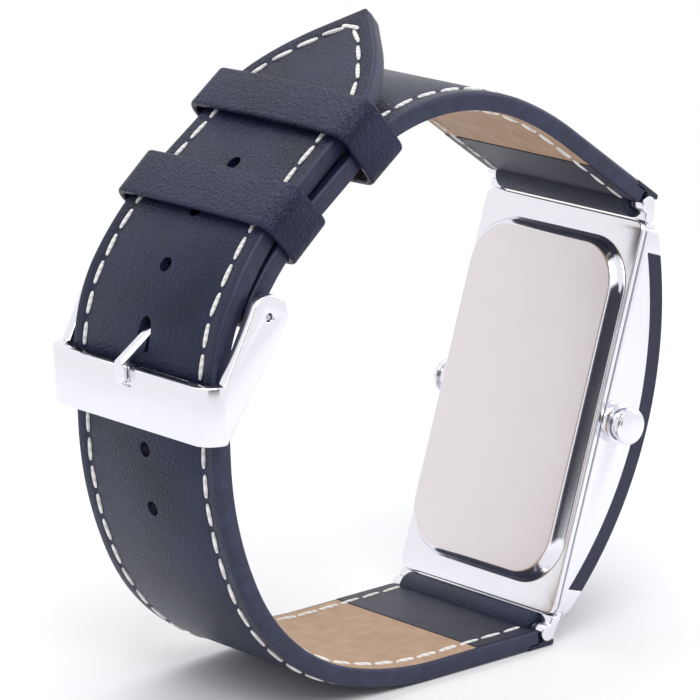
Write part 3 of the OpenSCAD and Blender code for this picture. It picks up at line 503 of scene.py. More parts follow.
def sweep(sections: list[list[Vector]], closed: bool = False,
          painted: frozenset[int] = frozenset()) -> bmesh.types.BMesh:
    """Extrudes a closed section from station to station.

    Args:
        sections: the section's points at each station.
        closed: True joins the last station to the first.
        painted: the section's sides, by number, that get the second material.

    Returns:
        The mesh, closed at both ends.
    """
    made = bmesh.new()
    number = made.verts.layers.int.new("number")
    points = [made.verts.new(point) for point in sections[0]]
    for i, point in enumerate(points):
        point[number] = i
    ring = [made.edges.new(pair) for pair in zip(points, points[1:] + points[:1])]
    first = list(ring)
    for section in sections[1:]:
        grown = bmesh.ops.extrude_edge_only(made, edges=ring)["geom"]
        ring = [g for g in grown if isinstance(g, bmesh.types.BMEdge)]
        for vertex in (g for g in grown if isinstance(g, bmesh.types.BMVert)):
            vertex.co = section[vertex[number]]
        ring = [e for e in ring if all(v in grown for v in e.verts)]
    if closed:
        bmesh.ops.bridge_loops(made, edges=first + ring)
    else:
        bmesh.ops.edgeloop_fill(made, edges=first)
        bmesh.ops.edgeloop_fill(made, edges=ring)
    count = len(points)
    for face in made.faces:
        sides = sorted({v[number] for v in face.verts})
        if len(sides) == 2:
            low, high = sides
            face.material_index = int((high if high - low > 1 else low) % count in painted)
    bmesh.ops.recalc_face_normals(made, faces=made.faces)
    return made


def turned(profile: list[tuple[float, float]], steps: int = 64) -> bmesh.types.BMesh:
    """Spins a profile round the y axis.

    Args:
        profile: points as distance along y and radius; closed, or with both ends on the axis.
        steps: how many faces go round.

    Returns:
        The mesh.
    """
    made = bmesh.new()
    points = [made.verts.new((radius, along, 0)) for along, radius in profile]
    if profile[0][1] > 0:
        points.append(points[0])
    edges = [made.edges.new(pair) for pair in zip(points, points[1:])]
    bmesh.ops.spin(made, geom=list(made.verts) + edges, cent=(0, 0, 0), axis=(0, 1, 0),
                   angle=math.tau, steps=steps, use_merge=True)
    bmesh.ops.remove_doubles(made, verts=made.verts, dist=0.001)
    bmesh.ops.recalc_face_normals(made, faces=made.faces)
    return made


def softened(node: str, placed: Matrix, width: float, steps: int = 3) -> bmesh.types.BMesh:
    """A copy of one of the part's nodes with its corners rounded.

    Args:
        node: the node's name.
        placed: the matrix from the watch's axes to the row's frame.
        width: how far a rounding reaches from its corner.
        steps: how many faces it has.

    Returns:
        The mesh, in the watch's axes.
    """
    made = bmesh.new()
    made.from_mesh(frame["nodes"][node].data)
    bmesh.ops.remove_doubles(made, verts=made.verts, dist=0.001 * MM)
    bmesh.ops.dissolve_limit(made, angle_limit=math.radians(0.4), verts=made.verts, edges=made.edges)
    bmesh.ops.transform(made, matrix=placed.inverted(), verts=made.verts)
    corners = [e for e in made.edges if e.is_manifold and e.calc_face_angle() > math.radians(28)]
    bmesh.ops.bevel(made, geom=corners, offset=width, segments=steps, profile=0.5, affect="EDGES",
                    clamp_overlap=False, material=-1)
    return made


def join(base: bmesh.types.BMesh, other: bmesh.types.BMesh) -> None:
    """Adds a mesh to another and frees it.

    Args:
        base: the mesh that grows.
        other: the mesh that is added.
    """
    data = bpy.data.meshes.new("joined")
    other.to_mesh(data)
    other.free()
    base.from_mesh(data)
    bpy.data.meshes.remove(data)


def link(name: str, mesh: bmesh.types.BMesh) -> bpy.types.Object:
    """Puts a mesh into the scene as an object at the origin.

    Args:
        name: the object's name.
        mesh: the mesh, which is freed.

    Returns:
        The object.
    """
    data = bpy.data.meshes.new(name)
    mesh.to_mesh(data)
    mesh.free()
    made = bpy.data.objects.new(name, data)
    bpy.context.scene.collection.objects.link(made)
    return made


@dataclass(frozen=True)
class Stand:
    """How the watch stands: its lean and the point of its lower strap that is the row's origin."""

    lean: float = 19.0

    def matrix(self, ground: Pose) -> Matrix:
        """From the watch's own axes in mm to the row's frame in metres.

        Args:
            ground: the middle of the flat stretch, on its outer face.

        Returns:
            The matrix.
        """
        lean = Matrix.Rotation(math.radians(self.lean), 4, "Y")
        return Matrix.Scale(MM, 4) @ lean @ Matrix.Translation((-ground.x, 0, -ground.z))


@dataclass
class Piece:
    """A finished mesh and how it belongs to the watch."""

    name: str
    mesh: bmesh.types.BMesh
    finishes: tuple[Finish, ...]
    body: str = "watch"
    slot: str | None = None
    nodes: tuple[str, ...] = ()
    sharp: float = 32.0
    holes: bmesh.types.BMesh | None = None
    added: bmesh.types.BMesh | None = None

    def make(self, placed: Matrix) -> bpy.types.Object:
        """Turns the mesh into an object of the watch.

        Args:
            placed: the matrix from the watch's axes to the row's frame.

        Returns:
            The object, riding on its body.
        """
        made = self.object(self.name, self.mesh)
        if self.holes is not None:
            self.cut(made, self.object(self.name + "_cutter", self.holes))
        whole = bmesh.new()
        whole.from_mesh(made.data)
        if self.added is not None:
            join(whole, self.added)
        bmesh.ops.transform(whole, matrix=placed, verts=whole.verts)
        whole.to_mesh(made.data)
        whole.free()
        made.data.shade_smooth()
        made.data.set_sharp_from_angle(angle=math.radians(self.sharp))
        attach(made, self.body)
        if self.nodes:
            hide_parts(*self.nodes)
        log.info("%s: %d faces on %s", self.name, len(made.data.polygons), self.body)
        return made

    def object(self, name: str, mesh: bmesh.types.BMesh) -> bpy.types.Object:
        """Puts a mesh with the piece's finishes into the scene.

        Args:
            name: the object's name.
            mesh: the mesh, which is freed.

        Returns:
            The object, at the origin.
        """
        made = link(name, mesh)
        for finish in self.finishes:
            made.data.materials.append(finish.material())
        return made

    @staticmethod
    def cut(made: bpy.types.Object, cutter: bpy.types.Object) -> None:
        """Cuts one object out of another and removes the cutter.

        Args:
            made: the object that is cut.
            cutter: the closed mesh that is taken away.
        """
        knife = made.modifiers.new("holes", "BOOLEAN")
        knife.operation = "DIFFERENCE"
        knife.solver = "EXACT"
        knife.use_self = True
        knife.object = cutter
        bpy.context.view_layer.update()
        evaluated = made.evaluated_get(bpy.context.evaluated_depsgraph_get())
        result = bpy.data.meshes.new_from_object(evaluated)
        made.modifiers.clear()
        made.data = result
        bpy.data.objects.remove(cutter)


# The strap


@dataclass(frozen=True)
class StrapPlan:
    """The strap's sizes and its two routes, as the part has them."""

    case_length: float = 48.0
    case_width: float = 27.8
    bar_out: float = 2.1
    bar_x: float = 0.3
    bar_radius: float = 0.8
    thickness: float = 2.3
    end_radius: float = 1.9
    eye_radius: float = 1.9
    patch: float = 10.0
    strap_side: float = 0.6
    buckle_taper: float = 0.6
    tip_taper: float = 2.6
    taper_end: float = 3.0
    tab_half: float = 11.6
    tab_length: float = 1.21
    flap: float = 1.4
    layer: float = 0.8
    lower_drop: float = 19.0
    upper_rise: float = 18.0
    low_bends: tuple[tuple[float, float], ...] = ((42.0, 17.4), (23.3, 48.45))
    last_bend: float = 40.9
    short1: float = 15.65
    short_bend1: tuple[float, float] = (40.0, 12.0)
    short_bend2: tuple[float, float] = (25.0, 61.8)
    short2: float = 8.2
    cross_gap: float = 0.25
    under: tuple[float, float] = (19.3, 31.6)
    over: tuple[float, float] = (34.4, 22.4)
    tip_run: float = 27.5
    tip_length: float = 14.0
    tip_radius: float = 2.2
    hole_pitch: float = 7.0
    hole_diameter: float = 1.8
    hole_used: float = 5.0
    holes_each_way: int = 3

    @property
    def half(self) -> float:
        """Half the strap's thickness."""
        return self.thickness / 2

    @property
    def wide(self) -> float:
        """Half the strap's width at the case."""
        return self.case_width / 2 - self.strap_side

    @property
    def narrow(self) -> float:
        """Half the strap's width at the buckle."""
        return self.wide - self.buckle_taper / 2

    @property
    def upper_bar(self) -> tuple[float, float]:
        """The upper spring bar's x and z."""
        return (self.bar_x, self.case_length / 2 + self.bar_out)

    @property
    def lower_bar(self) -> tuple[float, float]:
        """The lower spring bar's x and z."""
        return (self.bar_x, -self.case_length / 2 - self.bar_out)

    @cached_property
    def short_route(self) -> Route:
        """The short strap's middle line, from the upper spring bar to the buckle's."""
        first = Pose(*self.upper_bar, 180 - self.upper_rise).beside(self.half - self.end_radius)
        bends = (arc(*self.short_bend1, 1), arc(*self.short_bend2, 1))
        beneath = self.over[0] - self.thickness - self.cross_gap
        last = (Stretch(self.short2), arc(beneath, self.over[1], 1))
        return Route(first, (Stretch(self.short1), *bends, *last))

    @cached_property
    def eye(self) -> Pose:
        """The buckle's spring bar, round which the loop lies flush with the strap's outer face."""
        return self.short_route.at(self.short_route.length).beside(self.eye_radius - self.half)

    @cached_property
    def cross(self) -> Pose:
        """Where the long strap passes the buckle's spring bar."""
        return self.eye.turned(-180).beside(self.eye_radius + self.cross_gap + self.half)

    @cached_property
    def long_route(self) -> Route:
        """The long strap's middle line, from the lower spring bar to its tip.

        Its two straight stretches close the way between the bends and the buckle's spring bar.

        Returns:
            The route.
        """
        first = Pose(*self.lower_bar, 180 + self.lower_drop).beside(self.end_radius - self.half)
        under = arc(*self.under, 1)
        goal = self.cross.turned(-180).ahead(under.length, under.bend)
        join_heading = self.cross.heading + self.under[1]
        last = first.heading - sum(angle for _, angle in self.low_bends) - join_heading
        bends = tuple(arc(*bend, -1) for bend in (*self.low_bends, (self.last_bend, last)))
        bent = Pose(0, 0, first.heading)
        for bend in bends:
            bent = bent.ahead(bend.length, bend.bend)
        open_way = Vector((goal.x - first.x - bent.x, goal.z - first.z - bent.z))
        flat_way = Vector((1, 0)) @ Matrix.Rotation(math.radians(-first.heading), 2)
        join_way = Vector((1, 0)) @ Matrix.Rotation(math.radians(-join_heading), 2)
        share = flat_way.cross(join_way)
        flat = Stretch(open_way.cross(join_way) / share)
        rise = Stretch(flat_way.cross(open_way) / share)
        top = (arc(*self.under, -1), arc(*self.over, -1), Stretch(self.tip_run))
        return Route(first, (flat, *bends, rise, *top))

    @cached_property
    def cross_at(self) -> float:
        """The distance along the long route where it passes the buckle's spring bar."""
        return self.long_route.length - self.tip_run - arc(*self.over, -1).length

    def on_long(self, s: float) -> Pose:
        """The long strap's middle line at a distance above the buckle's spring bar."""
        return self.long_route.at(self.cross_at + s)

    def stack_depth(self, at: Pose, low: float, high: float) -> float:
        """How far the short strap's inner face lies inside the long strap's middle line.

        Args:
            at: a pose on the long strap.
            low: where the stretch that is looked at starts, from that pose along the strap.
            high: where it ends.

        Returns:
            The greatest depth.
        """
        a, step = math.radians(at.heading), 0.2
        found = 0.0
        for i in range(int(self.short_route.length / step)):
            face = self.short_route.at(step * i).beside(self.half)
            away = Vector((face.x - at.x, face.z - at.z))
            if low - step <= away.x * math.cos(a) + away.y * math.sin(a) <= high + step:
                found = max(found, away.x * math.sin(a) - away.y * math.cos(a))
        return found

    def ground(self) -> Pose:
        """The middle of the flat stretch, on its outer face."""
        return self.long_route.first.ahead(self.long_route.stretches[0].length / 2).beside(self.half)

    def flat_half(self, x: float) -> float:
        """Half the strap's width where it lies at a distance from the case.

        Args:
            x: the place along the watch's x axis.

        Returns:
            Half the width.
        """
        near, far = -self.taper_end, self.cross.x + self.taper_end
        share = min(1.0, max(0.0, (x - far) / (near - far)))
        return self.narrow + self.buckle_taper / 2 * share

    def long_half(self, s: float) -> float:
        """Half the long strap's width at a distance along it, down to its point.

        Args:
            s: the distance from the lower spring bar.

        Returns:
            Half the width.
        """
        route = self.long_route
        z = route.at(s).z
        if s <= self.cross_at:
            return self.flat_half(route.at(s).x)
        neck_z, tip_z = route.at(route.length - self.tip_length).z, route.at(route.length).z
        slim = self.narrow - self.tip_taper / 2
        if z <= neck_z:
            return self.narrow + (slim - self.narrow) * (z - self.cross.z) / (neck_z - self.cross.z)
        share = (z - neck_z) / (tip_z - neck_z)
        return self.point_half(share, slim, tip_z - neck_z)

    def point_half(self, share: float, slim: float, height: float) -> float:
        """Half the width of the long strap's point.

        Args:
            share: how far the place is from the point's neck, as a share of its height.
            slim: half the width at the neck.
            height: the point's height.

        Returns:
            Half the width.
        """
        r, knee = self.tip_radius, 0.72
        side = slim * (1 - min(share, knee) ** 1.6) ** 0.9
        if share <= knee:
            return side
        centre = height - r
        last = Vector((side, knee * height - centre))
        angle = math.atan2(last.y, last.x) + math.acos(r / last.length)
        z, touch = share * height - centre, r * math.sin(angle)
        if z <= touch:
            return last.x + (r * math.cos(angle) - last.x) * (z - last.y) / (touch - last.y)
        return math.sqrt(max(0.0, r**2 - z**2))


@dataclass(frozen=True)
class SectionPoint:
    """A corner of a strap's section: its side, its distance from that edge, and its height.

    Near the strap's point, where the two seams would meet, the height runs out to the plain one.
    """

    side: int
    inset: float
    height: float
    plain: float | None = None

    def place(self, half_width: float, slant: float) -> tuple[float, float]:
        """Its place across and outwards.

        Args:
            half_width: half the strap's width there.
            slant: how much longer a distance from a slanted edge is, measured straight across.

        Returns:
            The two coordinates.
        """
        room = half_width * min(0.92, 0.3 + 0.28 * self.inset)
        plain = self.height if self.plain is None else self.plain
        share = min(1.0, max(0.0, (half_width - 3.2) / 1.6))
        height = plain + (self.height - plain) * share
        return self.side * (half_width - min(self.inset * slant, room)), height


@dataclass
class StrapHalf:
    """One half of the strap: leather with dyed edges, lining, turned end and two seams."""

    plan: StrapPlan
    name: str
    long: bool
    edge_round: float = 0.5
    inner_round: float = 0.3
    seam_inset: float = 2.3
    seam_dip: float = 0.12
    rim_drop: float = 0.06
    pitch: float = 3.35
    seam_start: float = 3.4
    seam_short: float = 4.0
    stitch: tuple[float, float, float] = (1.46, 0.28, 0.26)
    lining_inset: float = 0.4
    step: float = 1.1
    turn: float = 3.0
    slot_half: float = 1.45
    slot_radius: float = 3.2

    def __post_init__(self) -> None:
        """Takes the route and its ends from the plan."""
        self.route = self.plan.long_route if self.long else self.plan.short_route
        self.outward = 1 if self.long else -1
        self.bar = self.plan.lower_bar if self.long else self.plan.upper_bar
        self.dice = random.Random(11)

    def half_width(self, s: float) -> float:
        """Half the width at a distance along the strap, with the narrow tab between the lugs.

        Args:
            s: the distance from the case's spring bar.

        Returns:
            Half the width.
        """
        if s < self.plan.tab_length:
            return self.plan.tab_half
        return self.plan.long_half(s) if self.long else self.plan.flat_half(self.route.at(s).x)

    def slant(self, s: float) -> float:
        """How much longer a distance from the edge is there, measured straight across."""
        if s < self.plan.tab_length + 0.5:
            return 1.0
        reach, most = 0.2, 1.8
        slope = self.half_width(s - reach) - self.half_width(min(s + reach, self.route.length))
        return min(most, math.hypot(1, slope / (2 * reach)))

    def stations(self, low: float, high: float) -> list[float]:
        """Distances for the sweep, closer where the outline turns.

        Args:
            low: the first distance.
            high: the last distance.

        Returns:
            The distances in order.
        """
        tab, length = self.plan.tab_length, self.route.length
        found = [low, high, tab - 0.002, tab, *self.route.stations(self.step, self.turn)]
        if self.long:
            found += [length - 0.05 * i * i for i in range(9)]
        inside = sorted(s for s in found if low <= s <= high)
        return [a for a, b in zip(inside, inside[1:]) if b - a > 0.0015] + [high]

    def band(self, points: list[SectionPoint], low: float, high: float,
             painted: frozenset[int] = frozenset()) -> bmesh.types.BMesh:
        """Sweeps a section along the strap.

        Args:
            points: the section's corners in order.
            low: the distance where it starts.
            high: the distance where it ends.
            painted: the sides that get the second material.

        Returns:
            The mesh.
        """
        sections = []
        for s in self.stations(low, high):
            width, slant = max(0.3, self.half_width(s)), self.slant(s)
            ride = self.route.at(s).matrix(self.outward)
            places = (point.place(width, slant) for point in points)
            sections.append([ride @ Vector((0, y, v)) for y, v in places])
        return sweep(sections, painted=painted)

    def skin(self) -> tuple[list[SectionPoint], frozenset[int]]:
        """The leather's section: a flat band with rounded, dyed edges and a dip under each seam.

        Returns:
            The section's corners, and the numbers of the sides that are dyed edge.
        """
        half, r, q = self.plan.half, self.edge_round, self.inner_round
        rim, low, seam = half - self.rim_drop, -half + 0.02, self.seam_inset
        outer = [(r - y, v) for y, v in reversed(quarter(0, rim - r, r, 0, 5))]
        inner = [(q - y, v) for y, v in reversed(quarter(0, low + q, q, -90, 3))]
        dip = [(seam + 0.75, half), (seam + 0.3, rim - self.seam_dip), (seam - 0.3, rim - self.seam_dip),
               (seam - 0.65, rim)]
        one = [SectionPoint(1, *corner, rim) for corner in dip]
        one += [SectionPoint(1, *corner) for corner in (*outer, *inner)]
        other = [SectionPoint(-1, p.inset, p.height, p.plain) for p in reversed(one)]
        start_dyed = len(dip) + 1
        dyed = range(start_dyed, len(one) - 1)
        mirrored = (2 * len(one) - 2 - i for i in dyed)
        return one + other, frozenset((*dyed, *mirrored))

    def layer(self, low: float, high: float, proud: float) -> bmesh.types.BMesh:
        """A thin layer of the inner face between two distances.

        Args:
            low: the first distance.
            high: the last distance.
            proud: how far it stands out of the strap's inner face.

        Returns:
            The mesh.
        """
        face, inset, r = -self.plan.half - proud, self.lining_inset, 0.08
        side = ((inset, face + 0.3), (inset, face + r))
        corners = (*side, (inset + 0.3 * r, face + 0.3 * r), (inset + r, face))
        one = [SectionPoint(1, *corner) for corner in corners]
        other = [SectionPoint(-1, p.inset, p.height) for p in reversed(one)]
        return self.band(one + other, low, high)

    def loops(self) -> bmesh.types.BMesh:
        """The strap's loops round its spring bars."""
        plan = self.plan
        made = self.loop(plan.end_radius, -plan.tab_half, plan.tab_half, self.bar)
        if not self.long:
            wide = self.half_width(self.route.length)
            for low, high in ((-wide, -self.slot_half), (self.slot_half, wide)):
                join(made, self.loop(plan.eye_radius, low, high, (plan.eye.x, plan.eye.z)))
        join(made, self.flap())
        return made

    def flap(self) -> bmesh.types.BMesh:
        """The outer leather's run over the lugs, with a rounded end.

        Returns:
            The mesh.
        """
        plan, r = self.plan, 0.3
        top, low = plan.half, plan.half - plan.layer + 0.1
        sections = []
        for s, thin in ((-plan.flap, r), (0.12 - plan.flap, 0.09), (r - plan.flap, 0.0), (2.6, 0.0)):
            wide, edge = self.half_width(3.0) - thin, top - thin
            corner = [(wide - r + y, v) for y, v in quarter(0, edge - r, r, 0, 5)]
            half = [(wide, low + thin), *corner]
            whole = half + [(-y, v) for y, v in reversed(half)]
            ride = self.route.at(s).matrix(self.outward)
            sections.append([ride @ Vector((0, y, v)) for y, v in whole])
        return sweep(sections)

    def loop(self, radius: float, low: float, high: float, centre: tuple[float, float]) -> bmesh.types.BMesh:
        """A loop of leather round a spring bar.

        Args:
            radius: the loop's outer radius.
            low: where it starts across the strap.
            high: where it ends.
            centre: the bar's x and z.

        Returns:
            The mesh.
        """
        bore, r = self.plan.bar_radius, 0.3
        start_round = [(low + r - y, radius - r + v) for y, v in quarter(0, 0, r, 0, 4)]
        end_round = [(high - r + y, radius - r + v) for y, v in reversed(quarter(0, 0, r, 0, 4))]
        made = turned([(low, bore), *start_round, *end_round, (high, bore)], 48)
        bmesh.ops.translate(made, vec=(centre[0], 0, centre[1]), verts=made.verts)
        return made

    def openings(self) -> bmesh.types.BMesh:
        """What is cut from every layer: the bores, the punched holes and the tongue's way."""
        plan = self.plan
        made = self.drill(Pose(*self.bar, 0), plan.bar_radius, 60)
        if not self.long:
            join(made, self.drill(plan.eye, self.slot_radius, 2 * self.slot_half))
            join(made, self.drill(plan.eye, plan.bar_radius, 60))
            return made
        for k in range(-plan.holes_each_way, plan.holes_each_way + 1):
            if k != 0:
                pose = plan.on_long(k * plan.hole_pitch - plan.hole_used)
                radius = plan.hole_diameter / 2
                bmesh.ops.create_cone(made, cap_ends=True, segments=32, radius1=radius, radius2=radius,
                                      depth=10, matrix=pose.matrix())
        join(made, Buckle(plan).way())
        return made

    @staticmethod
    def drill(pose: Pose, radius: float, depth: float) -> bmesh.types.BMesh:
        """A closed cylinder across the strap.

        Args:
            pose: where its axis is.
            radius: its radius.
            depth: its length.

        Returns:
            The mesh.
        """
        made = bmesh.new()
        turn = Matrix.Translation((pose.x, 0, pose.z)) @ Matrix.Rotation(math.pi / 2, 4, "X")
        bmesh.ops.create_cone(made, cap_ends=True, segments=48, radius1=radius, radius2=radius,
                              depth=depth, matrix=turn)
        return made

    def seam_places(self, high: float) -> list[tuple[float, float, float]]:
        """Where the stitches of one edge lie, evenly along the seam.

        Args:
            high: where the seam ends.

        Returns:
            For each stitch the distance along, the distance across and the slope.
        """
        found: list[tuple[float, float, float]] = []
        walk, reach, meeting, back, across = 0.05, 0.3, 0.4, 0.2, -15.0
        s, before, gone = self.seam_start, None, self.pitch
        while s < high:
            y = self.half_width(s) - self.seam_inset * self.slant(s)
            if y < meeting:
                # at the strap's point the last stitch of each edge lies across the middle line
                found.append((s - back, 0.0, across))
                break
            if before is not None:
                gone += math.hypot(walk, y - before)
            if gone >= self.pitch:
                ahead = self.half_width(s + reach) - self.seam_inset * self.slant(s + reach)
                found.append((s, y, (ahead - y) / reach))
                gone = 0.0
            s, before = s + walk, y
        return found

    def seam(self, face: Face, high: float) -> bmesh.types.BMesh:
        """The stitches of both edges on one face.

        Args:
            face: the face that they lie on.
            high: where the seam ends.

        Returns:
            The mesh.
        """
        made = bmesh.new()
        length, wide, tall = self.stitch
        plan = self.plan
        lift = plan.half - self.rim_drop - self.seam_dip + 0.08 if face is Face.OUTER else plan.half + 0.06
        for s, y, slope in self.seam_places(high):
            ride = self.route.at(s).matrix(self.outward)
            for side in Side:
                lean = math.atan(slope) * side.value + math.radians(self.dice.uniform(-4, 4))
                spot = Matrix.Translation((0, side.value * y, face.value * lift))
                size = Matrix.Diagonal((length * self.dice.uniform(0.93, 1.04), wide, tall, 1))
                upright = Matrix.Rotation(math.pi / 2, 4, "Y")
                placed = ride @ spot @ Matrix.Rotation(lean, 4, "Z") @ size @ upright
                grown = bmesh.ops.create_uvsphere(made, u_segments=8, v_segments=7, radius=1)["verts"]
                for vertex in grown:
                    wide_at = math.hypot(vertex.co.x, vertex.co.y)
                    fuller = wide_at**0.55 / wide_at if wide_at > 0.01 else 1
                    vertex.co = placed @ Vector((vertex.co.x * fuller, vertex.co.y * fuller, vertex.co.z))
        return made

    def build(self, placed: Matrix) -> None:
        """Builds the half's pieces.

        Args:
            placed: the matrix to the row's frame.
        """
        plan, n = self.plan, self.name
        points, dyed = self.skin()
        ends = self.route.length
        last = ends - (0.6 if self.long else plan.eye_radius - 0.3)
        seam_end = ends if self.long else ends - self.seam_short
        pieces = (
            Piece(f"{n}_leather_stitched", self.band(points, 0, ends, dyed), (Finish.LEATHER, Finish.EDGE),
                  "watch", "blue_black_leather", (f"{n}_leather",), 40, self.openings(), self.loops()),
            Piece(f"{n}_lining_napped", self.layer(plan.patch, last, 0.0), (Finish.LINING,), "watch",
                  "tan_lining", (f"{n}_lining",), 40, self.openings()),
            Piece(f"{n}_patch_turned", self.layer(plan.end_radius, plan.patch + 0.6, 0.12), (Finish.PATCH,),
                  "watch", "black_patch", (f"{n}_patch",), 40),
            *(Piece(f"{n}_seam_{face.name.lower()}", self.seam(face, seam_end), (Finish.THREAD,))
              for face in Face),
        )
        for piece in pieces:
            piece.make(placed)


@dataclass(frozen=True)
class Buckle:
    """The buckle's place on the strap and the way that its tongue needs."""

    plan: StrapPlan
    reach: float = 12.2
    gap: float = 1.0
    thickness: float = 1.5
    bar_width: float = 6.8
    rest_depth: float = 0.5
    tongue_width: float = 1.6
    tongue_thickness: float = 1.2
    tongue_side: float = 0.3
    tongue_lift: float = 1.3
    tongue_play: float = 0.05

    def way(self) -> bmesh.types.BMesh:
        """The slanted way through the long strap, wide enough for the tongue to lift.

        Returns:
            A closed box with a closed cylinder on its outer side.
        """
        plan, eye = self.plan, self.plan.eye
        bar = plan.on_long(-self.reach).beside(plan.half + self.gap + self.thickness / 2)
        rest = bar.ahead(self.bar_width / 2).beside(self.thickness / 2 - self.rest_depth)
        away = Vector((rest.x - eye.x, rest.z - eye.z))
        above = self.tongue_thickness / 2 + self.tongue_play
        heading = math.degrees(math.atan2(away.y, away.x) - math.asin(above / away.length))
        knee = math.radians((bar.heading + 540 - heading) % 360) / 2
        length = math.sqrt(away.length**2 - above**2) + above * math.tan(knee)
        radius = self.tongue_width / 2 + self.tongue_side
        half, spare = self.tongue_thickness / 2, 0.25
        low, high = radius - half - self.tongue_lift, half + spare
        ride = Pose(eye.x, eye.z, heading).matrix() @ Matrix.Translation((plan.eye_radius + length / 2, 0, 0))
        middle = Matrix.Translation((0, 0, (low + high) / 2))
        size = middle @ Matrix.Diagonal((length, 2 * radius, high - low, 1))
        lengthwise = Matrix.Translation((0, 0, low)) @ Matrix.Rotation(math.pi / 2, 4, "Y")
        made = bmesh.new()
        bmesh.ops.create_cube(made, size=1, matrix=ride @ size)
        bmesh.ops.create_cone(made, cap_ends=True, segments=48, radius1=radius, radius2=radius,
                              depth=length, matrix=ride @ lengthwise)
        return made


@dataclass
class Keeper:
    """A leather loop round both halves of the strap, bowed and rounded by wear."""

    plan: StrapPlan
    name: str
    body: str
    at: float
    width: float
    down: float = 0.0
    up: float = 0.0
    thickness: float = 0.9
    gap_out: float = 0.2
    gap_in: float = 0.25
    gap_side: float = 0.2
    corner: float = 1.5
    bow: float = 0.3
    edge: float = 0.35

    def build(self, placed: Matrix) -> None:
        """Builds the loop.

        Args:
            placed: the matrix to the row's frame.
        """
        plan, t, c = self.plan, self.thickness, self.corner
        here = plan.on_long(self.at)
        low_end, high_end = -self.width / 2 - self.down, self.width / 2 + self.up
        depth = plan.stack_depth(here, low_end, high_end) + self.gap_in
        inmost = here.ahead(high_end).beside(-depth + self.gap_in)
        half_run = plan.flat_half(inmost.x) + self.gap_side + t / 2 - c
        top, low = plan.half + self.gap_out + t / 2, -depth - t / 2
        radius = half_run**2 / (2 * self.bow)
        lean = math.degrees(math.asin(half_run / radius))
        face, turn = arc(radius, 2 * lean, 1), arc(c, 90 - lean, 1)
        rise = Stretch(top - low - 2 * c * (1 - math.sin(math.radians(lean))))
        loop = Route(Pose(-half_run, low, -lean), (face, turn, rise, turn, face, turn, rise, turn))
        swap = Matrix(((0, 1, 0, 0), (1, 0, 0, 0), (0, 0, 1, 0), (0, 0, 0, 1)))
        ride = here.matrix() @ swap
        w, r = self.width / 2, self.edge
        corners = ((1, 1), (-1, 1), (-1, -1), (1, -1))
        section = [p for i, (across, out) in enumerate(corners)
                   for p in quarter(across * (w - r), out * (t / 2 - r), r, 90 * i, 4)]
        frames = [ride @ loop.at(s).matrix(-1) for s in loop.stations(1.5, 9)[:-1]]
        made = sweep([[f @ Vector((0, y, v)) for y, v in section] for f in frames], closed=True)
        Piece(f"{self.name}_band", made, (Finish.KEEPER,), self.body, "blue_black_leather",
              (self.name,), 50).make(placed)


# The case


@dataclass(frozen=True)
class Casework:
    """A metal piece that keeps the part's shape and gets its corners rounded."""

    node: str
    body: str
    slot: str
    finish: Finish
    rounding: float
    brushed: float | None = None

    def build(self, placed: Matrix) -> None:
        """Builds the piece; faces further back than the brushed height get the satin finish.

        Args:
            placed: the matrix to the row's frame.
        """
        made = softened(self.node, placed, self.rounding)
        brushed = -math.inf if self.brushed is None else self.brushed
        for face in made.faces:
            face.material_index = int(face.calc_center_median().x < brushed)
        finishes = (self.finish, Finish.SATIN)
        Piece(f"{self.node}_finished", made, finishes, self.body, self.slot, (self.node,), 35).make(placed)


